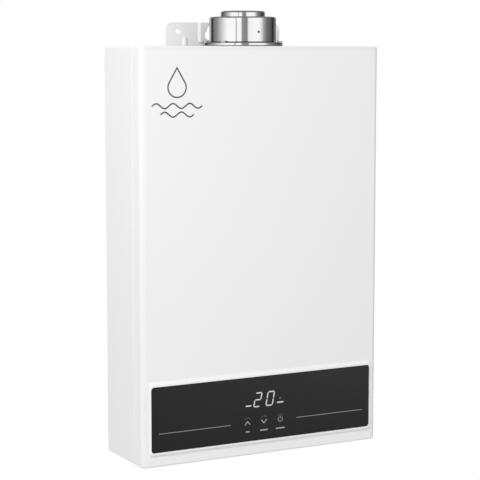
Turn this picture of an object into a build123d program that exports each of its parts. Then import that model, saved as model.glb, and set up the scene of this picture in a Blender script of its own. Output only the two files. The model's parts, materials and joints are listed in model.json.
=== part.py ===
from build123d import *
import os
from math import cos, radians, sin

# A wall-hung tankless gas water heater. X runs to the right as seen from the
# front, Y runs to the wall and Z runs up. The origin lies on the wall, midway
# between the two wall screw slots. Lengths are in millimetres.

# Casing and cover
BODY_W = 360.0
BODY_D = 115.0
BODY_H = 550.0
SHEET = 1.0
EDGE_R = 7.0
RIM_R = 2.5
BACK_R = 2.0
FOLD_R = 0.8 * SHEET
COVER_SKIRT = 25.0
SEAM_GAP = 0.8
LAP = 11.0
LAP_GAP = 0.3
SEAL_W = 6.0
SEAL_D = 6.0
COVER_SCREW_X = BODY_W / 3
COVER_SCREW_HEAD_R = 4.4

# Control panel and the raised field that it sits in
PANEL_W = 336.0
PANEL_H = 87.2
PANEL_R = 4.0
PANEL_T = 2.7
PANEL_RISE = 19.9
PANEL_GAP = 0.4
PANEL_INSET = 0.8
PANEL_EDGE = 0.4
PAD_RISE = 2.0
PAD_LIP = 2.6
PAD_SIDE_LIP = 1.6
PAD_TOP_BEVEL = 4.5
PAD_LOW_BEVEL = 3.5
PAD_SIDE_BEVEL = 1.2

# Display behind the panel
WINDOW_W = 120.0
WINDOW_H = 60.0
WINDOW_RISE = 57.0
CARRIER_WALL = 2.0
CARRIER_D = 14.0
CARRIER_EAR = 11.0
STUD_R = 1.5
STUD_L = 5.0
NUT_H = 2.5
NUT_R = 3.3
BOARD_T = 1.6
BOARD_GAP = 1.0
BOARD_POST_R = 3.0
BOARD_POST_L = 3.0
BOARD_SCREW_R = 1.2
BOARD_SCREW_L = 3.0
BOARD_SCREW_HEAD_R = 2.4
DIGIT_W = 44.0
DIGIT_H = 26.0
DIGIT_RISE = 73.6
GLASS_GAP = 0.3
KEY_SPACING = 25.2
KEY_RISE = 44.7
KEY_R = 4.0
KEY_WALL = 0.5

# Wall bracket
BRACKET_T = 2.0
BRACKET_W = 176.0
BRACKET_RISE = 32.6
BRACKET_TAIL = 48.0
BRACKET_R = 9.0
SLOT_RISE = 20.3
SLOT_SPACING = 139.6
SLOT_W = 5.6
SLOT_L = 9.3
RAISED_W = 80.4
RAISED_FLANK = 2.6
RAISED_H = 3.5
RAISED_FOOT = 6.0
KEYHOLE_X = 24.6
KEYHOLE_R = 6.8
KEYHOLE_NECK_R = 3.1
KEYHOLE_DROP = 4.8
KEYHOLE_SHIFT = 8.7
BEAD_X = 60.2
BEAD_R = 4.2
BEAD_TOP = 13.7
BEAD_PROUD = 2.6
BRACKET_SCREW_X = 62.0
BRACKET_SCREW_Z = (-14.0, -36.0)
BUMPER_EDGE = 40.0
BUMPER_X = BODY_W / 2 - BUMPER_EDGE
BUMPER_RISE = 40.0
BUMPER_R = 9.0
BUMPER_STEM_R = 3.0
BUMPER_STEM_L = 3.0

# Screws shared by several joints
SCREW_R = 2.0
SCREW_HEAD_R = 3.4
SCREW_HEAD_H = 2.2
SCREW_L = 8.0
SCREW_HOLE_GAP = 0.3

# Flue
FLUE_SETBACK = 60.0
COLLAR_R = 45.0
COLLAR_H = 39.3
COLLAR_ROLL = 2.5
COLLAR_BEAD = 1.0
COLLAR_HOLE_R = 1.6
COLLAR_HOLE_RISE = 19.0
FLUE_T = 1.0
SPIGOT_R = 30.0
SPIGOT_H = 47.2
SPIGOT_ROLL = 3.0
SPIGOT_BASE = 74.0
FLANGE_R = 54.0
FLANGE_T = 2.5
FLANGE_GAP = 0.2
FLANGE_ROUND = 1.2
GASKET_T = 1.5
AIR_HOLE_R = 40.0
NOTCH_GAP = 1.0
FLUE_SCREW_PITCH_R = 50.1
FLUE_SCREW_TURN = 30.0
FLUE_SCREW_L = 8.0

# Fan
FAN_DROP = 90.0
OUTLET_DROP = 28.0
SCROLL_R = 57.0
SCROLL_STEP = 5.0
SCROLL_SHIFT = 3.0
SCROLL_TONGUE = 4.0
SCROLL_D = 38.0
SCROLL_WALL = 1.2
SCROLL_FLANGE = 5.0
IMPELLER_R = 38.0
IMPELLER_GAP = 3.5
BLADE_COUNT = 24
BLADE_T = 0.8
BLADE_DEPTH = 7.0
BLADE_BEND = 10.0
DISC_T = 1.5
HUB_R = 6.0
HUB_L = 14.0
INLET_R = 27.0
SHAFT_R = 2.5
SHAFT_GAP = 0.05
SHAFT_END = 2.0
SHAFT_HOLE_R = 4.0
MOTOR_R = 30.0
MOTOR_L = 26.0
MOTOR_WALL = 1.5
MOTOR_FLANGE_R = 40.0
MOTOR_BOSS_R = 4.5
MOTOR_BOSS_L = 3.0
MOTOR_BOSS_COUNT = 3
BEARING_R = 5.0
BEARING_L = 5.0
BEARING_WALL = 2.0

# Smoke hood and heat exchanger
HOOD_DROP = 178.0
HOOD_TAPER = 28.0
HOOD_W = 100.0
HOOD_TOP = 38.0
HOOD_SHEET = 1.0
SIDE_SPACE = 76.0
EXCH_BACK_GAP = 9.0
EXCH_FRONT_GAP = 16.0
EXCH_SHEET = 0.8
EXCH_FLANGE = 6.0
TUBE_R = 7.0
TUBE_WALL = 1.0
TUBE_RUNS = 5
TUBE_EDGE = 9.6
TUBE_DROP = 30.0
TUBE_STRAIGHT = 3.0
TUBE_STUB = 14.0
FIN_T = 0.5
FIN_PITCH = 6.6
FIN_H = 48.0
FIN_EDGE = 1.2
FLANGE_SCREW_X = 60.0
FLANGE_SCREW_R = 1.5
FLANGE_SCREW_HEAD_R = 2.7
RAIL_RISE = 30.0
RAIL_H = 30.0
RAIL_FOOT = 10.0

# Burner
BURNER_RISE = 0.3 * BODY_H
BURNER_H = 57.0
BURNER_LEDGE = 9.0
BAR_PITCH = 18.0
BAR_W = 9.0
BAR_H = 46.0
BAR_GAP = 2.0
BAR_ROUND = 2.0
BAR_WALL = 1.0
BAR_SLOT_W = 1.6
BAR_SLOT_L = 5.0
BAR_SLOT_DEPTH = 4.0
BAR_SLOT_COUNT = 12
VENTURI_R = 3.5
NOZZLE_RISE = 13.0
NOZZLE_R = 3.0
NOZZLE_TIP_R = 1.8
NOZZLE_HOLE_R = 4.5
MANIFOLD_D = 13.0
MANIFOLD_H = 18.0
MANIFOLD_WALL = 1.2
MANIFOLD_END = 4.0

# Ignition
ELECTRODE_X = 28.0
ELECTRODE_RISE = 16.0
ELECTRODE_R = 1.2
ELECTRODE_BEND = 4.0
ELECTRODE_REACH = 22.0
ELECTRODE_TIP = 10.0
ELECTRODE_TAIL = 10.0
INSULATOR_R = 4.0
INSULATOR_FLANGE_R = 7.0
INSULATOR_FLANGE_T = 3.0
INSULATOR_OUT = 6.0
INSULATOR_IN = 12.0
LEAD_R = 2.0
LEAD_BEND = 20.0
IGNITER_W = 34.0
IGNITER_D = 32.0
IGNITER_H = 60.0
IGNITER_SETBACK = 37.0
IGNITER_ROUND = 2.0
THERMOSTAT_R = 9.0
THERMOSTAT_T = 5.0
THERMOSTAT_EDGE = 34.0
THERMOSTAT_PIN_X = 4.0
THERMOSTAT_RISE = 62.0

# Water and gas connections
CONNECT_SETBACK = 85.0
CONNECT_SPACING = 95.0
THREAD_R = 10.48
THREAD_L = 14.0
THREAD_CHAMFER = 1.0
NECK_R = 10.0
NECK_GAP = 0.3
LOCKNUT_H = 5.0
LOCKNUT_R = 15.6
NIPPLE_FLANGE_R = 17.0
NIPPLE_FLANGE_T = 3.0
NIPPLE_R = 11.0
NIPPLE_H = 40.0
NIPPLE_BORE_R = 7.5
PIPE_BEND = 12.0
PIPE_STRAIGHT = 2.0
PIPE_FIRST_BEND = 0.35
PIPE_SECOND_BEND = 0.85
FILTER_WALL = 1.0
FILTER_L = 22.0
FILTER_GAP = 0.3
FILTER_RIM_T = 1.5
FILTER_HOLE_R = 1.2
SENSOR_R = 15.0
SENSOR_BORE_R = 9.0
SENSOR_H = 46.0
SENSOR_PAD = 2.0
SENSOR_PAD_W = 15.0
SPIDER_T = 3.0
SPIDER_EDGE = 6.0
SPIDER_HUB_R = 3.0
SPIDER_ARM = 1.6
ROTOR_GAP = 0.3
ROTOR_TIP_GAP = 0.7
ROTOR_PIN_R = 1.0
ROTOR_HUB_R = 2.5
VANE_COUNT = 4
VANE_T = 1.2
VANE_L = 16.0
VANE_TILT = 25.0

# Gas valve
VALVE_W = 56.0
VALVE_D = 44.0
VALVE_H = 52.0
VALVE_ROUND = 4.0
VALVE_OUTLET_SHIFT = 12.0
GAS_PIPE_R = 6.0
GAS_PIPE_BEND = 15.0
COIL_R = 12.0
COIL_L = 30.0
COIL_END = 6.0
COIL_SPACING = 26.0
PLUNGER_R = 5.0
PLUNGER_GAP = 0.05
PLUNGER_L = 32.0
PLUNGER_BACK = 18.0
PLUNGER_SEAT_GAP = 0.3

# Water outlet block and drain plug
BLOCK_RISE = 24.0
BLOCK_H = 26.0
BLOCK_D = 26.0
BLOCK_LEFT = 20.0
BLOCK_RIGHT = 38.0
SOCKET_DEPTH = 8.0
DRAIN_SHIFT = 27.0
DRAIN_R = 5.0
DRAIN_GAP = 0.05
DRAIN_TOP_GAP = 5.0
DRAIN_HOLE_GAP = 2.0
DRAIN_CROSS_R = 4.0
KNOB_R = 9.0
KNOB_H = 10.0
KNOB_GAP = 3.0
KNOB_ROUND = 1.0
KNOB_FLUTE_R = 1.6
KNOB_FLUTES = 10
SEAL_RING_H = 2.4
SEAL_RING_DEPTH = 1.2
SEAL_RING_DROP = 6.0
SEAL_RING_GAP = 0.02
THERMISTOR_R = 2.5
THERMISTOR_HEAD_R = 4.5
THERMISTOR_HEAD_L = 10.0
THERMISTOR_TIP = 3.0

# Control box and cable gland
CONTROL_W = 36.0
CONTROL_D = 48.0
CONTROL_H = 120.0
CONTROL_RISE = 190.0
CONTROL_SETBACK = 31.0
CONTROL_WALL = 2.0
MAIN_BOARD_GAP = 3.0
GLAND_SHARE = 9 / 17
GLAND_X = CONNECT_SPACING + GLAND_SHARE * (BODY_W / 2 - CONNECT_SPACING)
GLAND_SETBACK = 77.0
GLAND_R = 7.0
GLAND_FLANGE = 2.5
GLAND_FLANGE_T = 2.0
GLAND_DROP = 12.0
GLAND_BORE_R = 3.5

# Planes and places worked out from the sizes above
X_SIDE = BODY_W / 2
X_IN = X_SIDE - SHEET
Y_BACK = -BRACKET_T
Y_BACK_IN = Y_BACK - SHEET
Y_FRONT = Y_BACK - BODY_D
Y_FRONT_IN = Y_FRONT + SHEET
Y_SEAM = Y_FRONT + COVER_SKIRT
Y_TRAY = Y_SEAM + SEAM_GAP
Y_LAP = Y_TRAY - LAP
Z_TOP = -SLOT_RISE
Z_BOTTOM = Z_TOP - BODY_H
Y_COVER_SCREW = Y_LAP + LAP / 2
X_FOLD = X_SIDE - RIM_R - 2 * SHEET - LAP_GAP
Y_FOLD = Y_BACK_IN - BACK_R

Z_PANEL = Z_BOTTOM + PANEL_RISE
Y_PANEL = Y_FRONT - PAD_RISE + PANEL_INSET
Y_SEAT = Y_PANEL + PANEL_T
Y_SEAT_BACK = Y_SEAT + SHEET
Z_WINDOW = Z_BOTTOM + WINDOW_RISE
CARRIER_W = WINDOW_W + 2 * CARRIER_WALL + 2 * CARRIER_WALL
CARRIER_H = WINDOW_H + 2 * CARRIER_WALL + 2 * CARRIER_WALL
STUD_X = CARRIER_W / 2 + CARRIER_EAR / 2
Y_CARRIER_BACK = Y_SEAT_BACK + CARRIER_D
Y_BOARD = Y_CARRIER_BACK - CARRIER_WALL - BOARD_POST_L
Y_BOARD_FRONT = Y_BOARD - BOARD_T

Y_FLUE = Y_FRONT + FLUE_SETBACK
Z_COLLAR = Z_TOP + GASKET_T
Z_FLANGE = Z_COLLAR + FLUE_T
Z_FLANGE_TOP = Z_FLANGE + FLANGE_T
BEAD_OUT_R = COLLAR_R + COLLAR_BEAD

Z_FAN = Z_TOP - FAN_DROP
X_FAN = -(SCROLL_SHIFT + (SCROLL_R + SCROLL_TONGUE) / 2)
Z_OUTLET = Z_TOP - OUTLET_DROP
Y_SCROLL_BACK = Y_FLUE + SCROLL_D / 2
Y_SCROLL_FRONT = Y_FLUE - SCROLL_D / 2
Y_FAN_PLATE = Y_SCROLL_FRONT - SCROLL_WALL
Y_MOTOR = Y_FAN_PLATE - MOTOR_BOSS_L
Y_MOTOR_END = Y_MOTOR - MOTOR_L
Y_DISC = Y_SCROLL_FRONT + IMPELLER_GAP
Y_IMPELLER_BACK = Y_SCROLL_BACK - SCROLL_WALL - IMPELLER_GAP
MOTOR_BOSS_PITCH_R = (MOTOR_R + MOTOR_FLANGE_R) / 2

X_EXCH = X_SIDE - SIDE_SPACE
X_THERMOSTAT = THERMOSTAT_EDGE - X_EXCH
Y_EXCH_BACK = Y_BACK_IN - EXCH_BACK_GAP
Y_EXCH_FRONT = Y_FRONT_IN + EXCH_FRONT_GAP
Z_HOOD = Z_TOP - HOOD_DROP
Z_BURNER = Z_BOTTOM + BURNER_RISE
Z_CHAMBER = Z_BURNER + BURNER_H
Z_TUBE = Z_HOOD - TUBE_DROP
TUBE_PITCH = (Y_EXCH_BACK - Y_EXCH_FRONT - 2 * TUBE_EDGE) / (TUBE_RUNS - 1)
X_TUBE_END = X_EXCH + TUBE_STUB
X_PIPE = X_TUBE_END + PIPE_BEND + PIPE_STRAIGHT
Z_NOZZLE = Z_BURNER + NOZZLE_RISE
Y_MANIFOLD = Y_EXCH_FRONT - MANIFOLD_D / 2
Z_ELECTRODE = Z_CHAMBER + ELECTRODE_RISE

Y_CONNECT = Y_FRONT + CONNECT_SETBACK
X_COLD = CONNECT_SPACING
X_HOT = -CONNECT_SPACING
Z_FLOOR = Z_BOTTOM + SHEET
Z_NIPPLE = Z_BOTTOM + NIPPLE_H
Z_SENSOR = Z_NIPPLE + SENSOR_H
Z_VALVE = Z_NIPPLE + VALVE_H
X_COIL = VALVE_W / 2
X_PLUNGER = X_COIL - PLUNGER_BACK + PLUNGER_SEAT_GAP
Z_COIL = Z_NIPPLE + VALVE_H / 2 + COIL_SPACING / 2
Z_BLOCK = Z_BOTTOM + BLOCK_RISE
Z_BLOCK_TOP = Z_BLOCK + BLOCK_H
X_DRAIN = X_HOT + DRAIN_SHIFT
Z_DRAIN_TOP = Z_BLOCK_TOP - DRAIN_TOP_GAP
Z_STEM_TOP = Z_DRAIN_TOP - DRAIN_TOP_GAP
Z_SEAL_RING = Z_STEM_TOP - SEAL_RING_DROP
Z_KNOB = Z_BOTTOM - KNOB_GAP
Z_CONTROL = Z_BOTTOM + CONTROL_RISE
Y_CONTROL = Y_BACK_IN - CONTROL_SETBACK
Y_CONTROL_FRONT = Y_CONTROL - CONTROL_D
Y_IGNITER = Y_FRONT + IGNITER_SETBACK
X_IGNITER = X_IN - IGNITER_W
Y_GLAND = Y_FRONT + GLAND_SETBACK
PAST = 1.0


def block(x0, x1, y0, y1, z0, z1):
    """Box between two opposite corners."""
    return Pos(x0, y0, z0) * Box(x1 - x0, y1 - y0, z1 - z0, align=(Align.MIN,) * 3)


def rod(radius, start, end):
    """Round bar from one point to another."""
    run = Vector(*end) - Vector(*start)
    return Solid.make_cylinder(radius, run.length, Plane(origin=start, z_dir=run))


def rod_x(radius, x0, x1, y, z):
    return rod(radius, (x0, y, z), (x1, y, z))


def rod_y(radius, y0, y1, x, z):
    return rod(radius, (x, y0, z), (x, y1, z))


def rod_z(radius, z0, z1, x, y):
    return rod(radius, (x, y, z0), (x, y, z1))


def upright(y):
    """Drawing plane parallel to the wall: its first axis is X, its second is Z."""
    return Plane(origin=(0, y, 0), x_dir=(1, 0, 0), z_dir=(0, -1, 0))


def hexagon(radius, hole, plane, height):
    """Six-sided nut standing on a plane."""
    return extrude(plane * (RegularPolygon(radius, 6) - Circle(hole)), height)


def bent_tube(points, bend, radius, wall=None):
    """Tube, or a bar where no wall is given, along straight runs with round bends."""
    path = FilletPolyline(*points, radius=bend)
    section = Circle(radius)
    if wall:
        section -= Circle(radius - wall)
    return sweep(Plane(origin=path @ 0, z_dir=path % 0) * section, path=path)


def group(solids):
    """Separate solids kept in one node."""
    return Compound([solid for item in solids for solid in item.solids()])


def cap_screw(spot, direction, radius, head, length):
    """Screw with a flat round head; the spot is the face under the head."""
    spot = Vector(*spot)
    way = Vector(*direction)
    return rod(head, spot, spot - way * SCREW_HEAD_H) + rod(radius, spot, spot + way * length)


def frame_slab(inset, y0, y1):
    """Slab of the casing's outline, drawn in by an inset, between two depths."""
    width = BODY_W - 2 * inset
    height = BODY_H - 2 * inset
    corner = max(RIM_R - inset, 0.2)
    outline = Pos(0, (Z_TOP + Z_BOTTOM) / 2) * RectangleRounded(width, height, corner)
    return extrude(upright(y1) * outline, y1 - y0)


def wall_slots():
    return [(side * SLOT_SPACING / 2, 0.0) for side in (-1, 1)]


def bracket_screw_spots():
    return [(side * BRACKET_SCREW_X, Z_TOP + drop) for side in (-1, 1) for drop in BRACKET_SCREW_Z]


def flue_screw_spots():
    turns = [middle + side * FLUE_SCREW_TURN for middle in (0, 180) for side in (-1, 1)]
    return [
        (FLUE_SCREW_PITCH_R * cos(radians(a)), Y_FLUE + FLUE_SCREW_PITCH_R * sin(radians(a))) for a in turns
    ]


def flange_screw_spots():
    depths = (Y_EXCH_FRONT - EXCH_FLANGE / 2, Y_EXCH_BACK + EXCH_FLANGE / 2)
    return [(side * FLANGE_SCREW_X, y) for side in (-1, 1) for y in depths]


def tube_rows():
    return [Y_EXCH_FRONT + TUBE_EDGE + i * TUBE_PITCH for i in range(TUBE_RUNS)]


def bar_places():
    count = int((2 * X_EXCH - BAR_W) // BAR_PITCH)
    return [(i - (count - 1) / 2) * BAR_PITCH for i in range(count)]


def stud_spots():
    rise = CARRIER_H / 2 - CARRIER_EAR / 2
    return [(i * STUD_X, Z_WINDOW + j * rise) for i in (-1, 1) for j in (-1, 1)]


def board_post_spots():
    across = WINDOW_W / 2 - BOARD_POST_R - BOARD_GAP
    rise = WINDOW_H / 2 - BOARD_POST_R - BOARD_GAP
    return [(i * across, Z_WINDOW + j * rise) for i in (-1, 1) for j in (-1, 1)]


def casing_tray():
    """Whole tray: sheet walls, a stepped-in lap that the cover slides over and a tongue under the flue."""
    outer = frame_slab(0, Y_TRAY, Y_BACK)
    outer = fillet(outer.faces().sort_by(Axis.Y)[-1].edges(), BACK_R)
    outer = fillet(outer.faces().sort_by(Axis.Y)[0].edges(), FOLD_R)
    tray = outer - frame_slab(SHEET, Y_TRAY - PAST, Y_BACK_IN)
    lap_in = 2 * SHEET + LAP_GAP
    tray += frame_slab(SHEET, Y_TRAY, Y_TRAY + SHEET) - frame_slab(lap_in, Y_TRAY - PAST, Y_TRAY + 2 * SHEET)
    tray += frame_slab(SHEET + LAP_GAP, Y_LAP, Y_TRAY) - frame_slab(lap_in, Y_LAP - PAST, Y_TRAY + PAST)
    tongue = rod_z(FLANGE_R, Z_TOP - SHEET, Z_TOP, 0, Y_FLUE)
    tray += tongue & block(-X_IN, X_IN, Y_FRONT, Y_FLUE, Z_BOTTOM, Z_TOP + PAST)
    filler = rod_z(FLANGE_R, Z_TOP - SHEET - LAP_GAP, Z_TOP - SHEET, 0, Y_FLUE)
    tray += filler & block(-X_IN, X_IN, Y_LAP, Y_TRAY, Z_BOTTOM, Z_TOP)
    under = Z_TOP - lap_in - PAST
    cuts = [rod_z(AIR_HOLE_R, under, Z_TOP + PAST, 0, Y_FLUE)]
    cuts += [rod_z(SCREW_R, under, Z_TOP + PAST, x, y) for x, y in flue_screw_spots()]
    floor = (Z_BOTTOM - PAST, Z_FLOOR + PAST)
    cuts += [rod_z(NECK_R + NECK_GAP, *floor, x, Y_CONNECT) for x in (X_HOT, 0, X_COLD)]
    cuts.append(rod_z(DRAIN_R + DRAIN_HOLE_GAP, *floor, X_DRAIN, Y_CONNECT))
    cuts.append(rod_z(GLAND_R, *floor, GLAND_X, Y_GLAND))
    lap_top = Z_BOTTOM + lap_in + PAST
    cuts += [rod_z(SCREW_R, Z_BOTTOM, lap_top, s * COVER_SCREW_X, Y_COVER_SCREW) for s in (-1, 1)]
    back = (Y_BACK_IN - PAST, Y_BACK + PAST)
    cuts += [rod_y(SCREW_R, *back, x, z) for x, z in bracket_screw_spots()]
    cuts += [rod_y(BUMPER_STEM_R, *back, s * BUMPER_X, Z_BOTTOM + BUMPER_RISE) for s in (-1, 1)]
    return tray - cuts


def casing_sheet(x0, x1, y0, z0, z1):
    """One sheet of the tray, in front of the back sheet's rim."""
    return casing_tray() & block(x0, x1, y0, Y_FOLD, z0, z1)


def casing_back():
    """Back sheet with a low rim that the other sheets are welded to."""
    return casing_tray() & block(-X_SIDE, X_SIDE, Y_FOLD, Y_BACK, Z_BOTTOM, Z_TOP)


def casing_left():
    return casing_sheet(-X_SIDE, -X_FOLD, Y_FRONT, Z_BOTTOM, Z_TOP)


def casing_right():
    return casing_sheet(X_FOLD, X_SIDE, Y_FRONT, Z_BOTTOM, Z_TOP)


def casing_top():
    return casing_sheet(-X_FOLD, X_FOLD, Y_FRONT, (Z_TOP + Z_BOTTOM) / 2, Z_TOP)


def casing_bottom():
    return casing_sheet(-X_FOLD, X_FOLD, Y_FRONT, Z_BOTTOM, (Z_TOP + Z_BOTTOM) / 2)


def cover_solid(inset, y_end):
    """Filled form of the cover, drawn in by an inset."""
    x = X_SIDE - inset
    body = block(-x, x, Y_FRONT + inset, y_end, Z_BOTTOM + inset, Z_TOP - inset)
    front = body.edges().filter_by(Axis.Z).group_by(Axis.Y)[0]
    body = fillet(front, EDGE_R - inset)
    rims = [body.faces().sort_by(Axis.Z)[i].edges() for i in (0, -1)]
    chain = [edge for rim in rims for edge in rim if (edge @ 0.5).Y < y_end - PAST / 10]
    return fillet(chain, RIM_R - inset)


def panel_outline(grow, radius, y):
    middle = Pos(0, Z_PANEL + PANEL_H / 2)
    return upright(y) * (middle * RectangleRounded(PANEL_W + 2 * grow, PANEL_H + 2 * grow, radius))


def pad_solid(draw_in, shift):
    """Raised field: a bevelled block round the panel."""

    def outline(side, low, top, y):
        width = PANEL_W + 2 * (side - draw_in)
        z0 = Z_PANEL - low + draw_in
        z1 = Z_PANEL + PANEL_H + top - draw_in
        return upright(y + shift) * (Pos(0, (z0 + z1) / 2) * RectangleRounded(width, z1 - z0, PANEL_R))

    foot = outline(
        PAD_SIDE_LIP + PAD_SIDE_BEVEL, PAD_LIP + PAD_LOW_BEVEL, PAD_LIP + PAD_TOP_BEVEL, Y_FRONT
    )
    crown = outline(PAD_SIDE_LIP, PAD_LIP, PAD_LIP, Y_FRONT - PAD_RISE)
    return loft([foot, crown])


def front_cover():
    """Deep-drawn sheet cover with a raised field, a seat for the panel, open screw slots and a flue notch."""
    cover = cover_solid(0, Y_SEAM) + pad_solid(0, 0)
    cover -= cover_solid(SHEET, Y_SEAM + PAST)
    cover -= pad_solid(SHEET, SHEET)
    seat_wall = PANEL_GAP + SHEET
    cover += extrude(panel_outline(seat_wall, PANEL_R + seat_wall, Y_SEAT_BACK), Y_SEAT_BACK - Y_PANEL)
    cover -= extrude(panel_outline(PANEL_GAP, PANEL_R + PANEL_GAP, Y_SEAT), PANEL_T + PANEL_INSET + PAST)
    window = (Z_WINDOW - WINDOW_H / 2, Z_WINDOW + WINDOW_H / 2)
    cover -= block(-WINDOW_W / 2, WINDOW_W / 2, Y_SEAT - PAST, Y_SEAT_BACK + PAST, *window)
    cover += [rod_y(STUD_R, Y_SEAT_BACK, Y_SEAT_BACK + STUD_L, x, z) for x, z in stud_spots()]
    cover -= rod_z(FLANGE_R + NOTCH_GAP, Z_TOP - SHEET - LAP_GAP, Z_TOP + PAST, 0, Y_FLUE)
    slot = SCREW_R + SCREW_HOLE_GAP
    floor = (Z_BOTTOM - PAST, Z_FLOOR + LAP_GAP / 2)
    for x in (-COVER_SCREW_X, COVER_SCREW_X):
        cover -= rod_z(slot, *floor, x, Y_COVER_SCREW)
        cover -= block(x - slot, x + slot, Y_COVER_SCREW, Y_SEAM + PAST, *floor)
    return cover


def cover_seal():
    """Foam strip inside the cover that presses on the casing's lap."""
    start = Y_LAP - SEAL_D
    strip = frame_slab(SHEET, start, Y_LAP)
    return strip - frame_slab(SHEET + SEAL_W, start - PAST, Y_LAP + PAST)


def cover_screws():
    spots = [(s * COVER_SCREW_X, Y_COVER_SCREW, Z_BOTTOM) for s in (-1, 1)]
    return group(cap_screw(spot, (0, 0, 1), SCREW_R, COVER_SCREW_HEAD_R, SCREW_L) for spot in spots)


def control_panel():
    panel = extrude(panel_outline(0, PANEL_R, Y_SEAT), PANEL_T)
    return chamfer(panel.faces().sort_by(Axis.Y)[0].edges(), PANEL_EDGE)


def display_carrier():
    """Plastic tray behind the window, with four ears on the cover's studs."""
    half_w = CARRIER_W / 2
    half_h = CARRIER_H / 2
    z0 = Z_WINDOW - half_h
    z1 = Z_WINDOW + half_h
    tray = block(-half_w, half_w, Y_SEAT_BACK, Y_CARRIER_BACK, z0, z1)
    ears = half_w + CARRIER_EAR
    tray += block(-ears, ears, Y_SEAT_BACK, Y_SEAT_BACK + CARRIER_WALL, z0, z1)
    wall = CARRIER_WALL
    room = (-half_w + wall, half_w - wall, Y_SEAT_BACK - PAST, Y_CARRIER_BACK - wall, z0 + wall, z1 - wall)
    tray -= block(*room)
    tray += [
        rod_y(BOARD_POST_R, Y_BOARD, Y_CARRIER_BACK - CARRIER_WALL, x, z) for x, z in board_post_spots()
    ]
    hole = (Y_BOARD - PAST, Y_BOARD + BOARD_SCREW_L)
    tray -= [rod_y(BOARD_SCREW_R, *hole, x, z) for x, z in board_post_spots()]
    tray -= [rod_y(STUD_R, Y_SEAT_BACK - PAST, Y_SEAT_BACK + STUD_L, x, z) for x, z in stud_spots()]
    return tray


def display_board():
    half_w = CARRIER_W / 2 - CARRIER_WALL - BOARD_GAP
    half_h = CARRIER_H / 2 - CARRIER_WALL - BOARD_GAP
    board = block(-half_w, half_w, Y_BOARD_FRONT, Y_BOARD, Z_WINDOW - half_h, Z_WINDOW + half_h)
    return board - [
        rod_y(BOARD_SCREW_R, Y_BOARD_FRONT - PAST, Y_BOARD + PAST, x, z) for x, z in board_post_spots()
    ]


def display_screws():
    """Four nuts on the cover's studs and four screws through the board."""
    seat = Y_SEAT_BACK + CARRIER_WALL
    nuts = []
    for x, z in stud_spots():
        plane = Plane(origin=(x, seat, z), x_dir=(1, 0, 0), z_dir=(0, 1, 0))
        nuts.append(hexagon(NUT_R, STUD_R, plane, NUT_H))
    reach = BOARD_T + BOARD_SCREW_L
    screws = [
        cap_screw((x, Y_BOARD_FRONT, z), (0, 1, 0), BOARD_SCREW_R, BOARD_SCREW_HEAD_R, reach)
        for x, z in board_post_spots()
    ]
    return group(nuts + screws)


def digit_module():
    z = Z_BOTTOM + DIGIT_RISE
    face = Y_SEAT + GLASS_GAP
    return block(-DIGIT_W / 2, DIGIT_W / 2, face, Y_BOARD_FRONT, z - DIGIT_H / 2, z + DIGIT_H / 2)


def touch_springs():
    """Sleeves that carry the touch of a finger from the glass to the board."""
    z = Z_BOTTOM + KEY_RISE
    places = [(i - 1) * KEY_SPACING for i in range(3)]
    return group(
        rod_y(KEY_R, Y_SEAT, Y_BOARD_FRONT, x, z) - rod_y(KEY_R - KEY_WALL, Y_SEAT, Y_BOARD_FRONT, x, z)
        for x in places
    )


def wall_bracket():
    """Pressed plate on the casing's back, with a raised middle above the casing."""
    height = BRACKET_RISE + BRACKET_TAIL
    outline = Pos(0, Z_TOP + BRACKET_RISE - height / 2) * RectangleRounded(BRACKET_W, height, BRACKET_R)
    plate = extrude(upright(0) * outline, BRACKET_T)

    def raised(y_foot, z0, z1):
        half = RAISED_W / 2
        crown = half - RAISED_FLANK
        y_crown = y_foot - RAISED_H
        corners = [(-half, y_foot), (-crown, y_crown), (crown, y_crown), (half, y_foot)]
        return extrude(Plane.XY.offset(z0) * make_face(Polyline(*corners, close=True)), z1 - z0)

    foot = Z_TOP + RAISED_FOOT
    top = Z_TOP + BRACKET_RISE
    plate += raised(-BRACKET_T, foot, top)
    plate -= raised(0, foot + BRACKET_T, top + PAST)
    for side in (-1, 1):
        bead_y = -BRACKET_T + BEAD_R - BEAD_PROUD
        bead_top = Z_TOP + BEAD_TOP - BEAD_R
        bead = rod_z(BEAD_R, Z_TOP + LAP_GAP, bead_top, side * BEAD_X, bead_y)
        bead += Pos(side * BEAD_X, bead_y, bead_top) * Sphere(BEAD_R)
        room = block(-X_SIDE, X_SIDE, -BEAD_R * 2, -BRACKET_T / 2, Z_TOP, top)
        plate += bead & room
    through = (-BRACKET_T - RAISED_H - PAST, PAST)
    head = Z_TOP + SLOT_RISE - KEYHOLE_DROP
    for x in (-KEYHOLE_X, KEYHOLE_X):
        plate -= rod_y(KEYHOLE_R, *through, x, head)
        plate -= rod_y(KEYHOLE_NECK_R, *through, x, head + KEYHOLE_SHIFT)
        plate -= block(x - KEYHOLE_NECK_R, x + KEYHOLE_NECK_R, *through, head, head + KEYHOLE_SHIFT)
    for x, z in wall_slots():
        plate -= extrude(upright(PAST) * (Pos(x, z) * SlotOverall(SLOT_L, SLOT_W)), BRACKET_T + 2 * PAST)
    plate -= [rod_y(SCREW_R, *through, x, z) for x, z in bracket_screw_spots()]
    return plate


def bracket_screws():
    """Screws from inside the casing into the bracket, ending flush with the wall face."""
    reach = SHEET + BRACKET_T
    spots = bracket_screw_spots()
    return group(cap_screw((x, Y_BACK_IN, z), (0, 1, 0), SCREW_R, SCREW_HEAD_R, reach) for x, z in spots)


def wall_bumpers():
    z = Z_BOTTOM + BUMPER_RISE
    stem = (Y_BACK - BUMPER_STEM_L, Y_BACK)
    places = (-BUMPER_X, BUMPER_X)
    return group(rod_y(BUMPER_R, Y_BACK, 0, x, z) + rod_y(BUMPER_STEM_R, *stem, x, z) for x in places)


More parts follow.
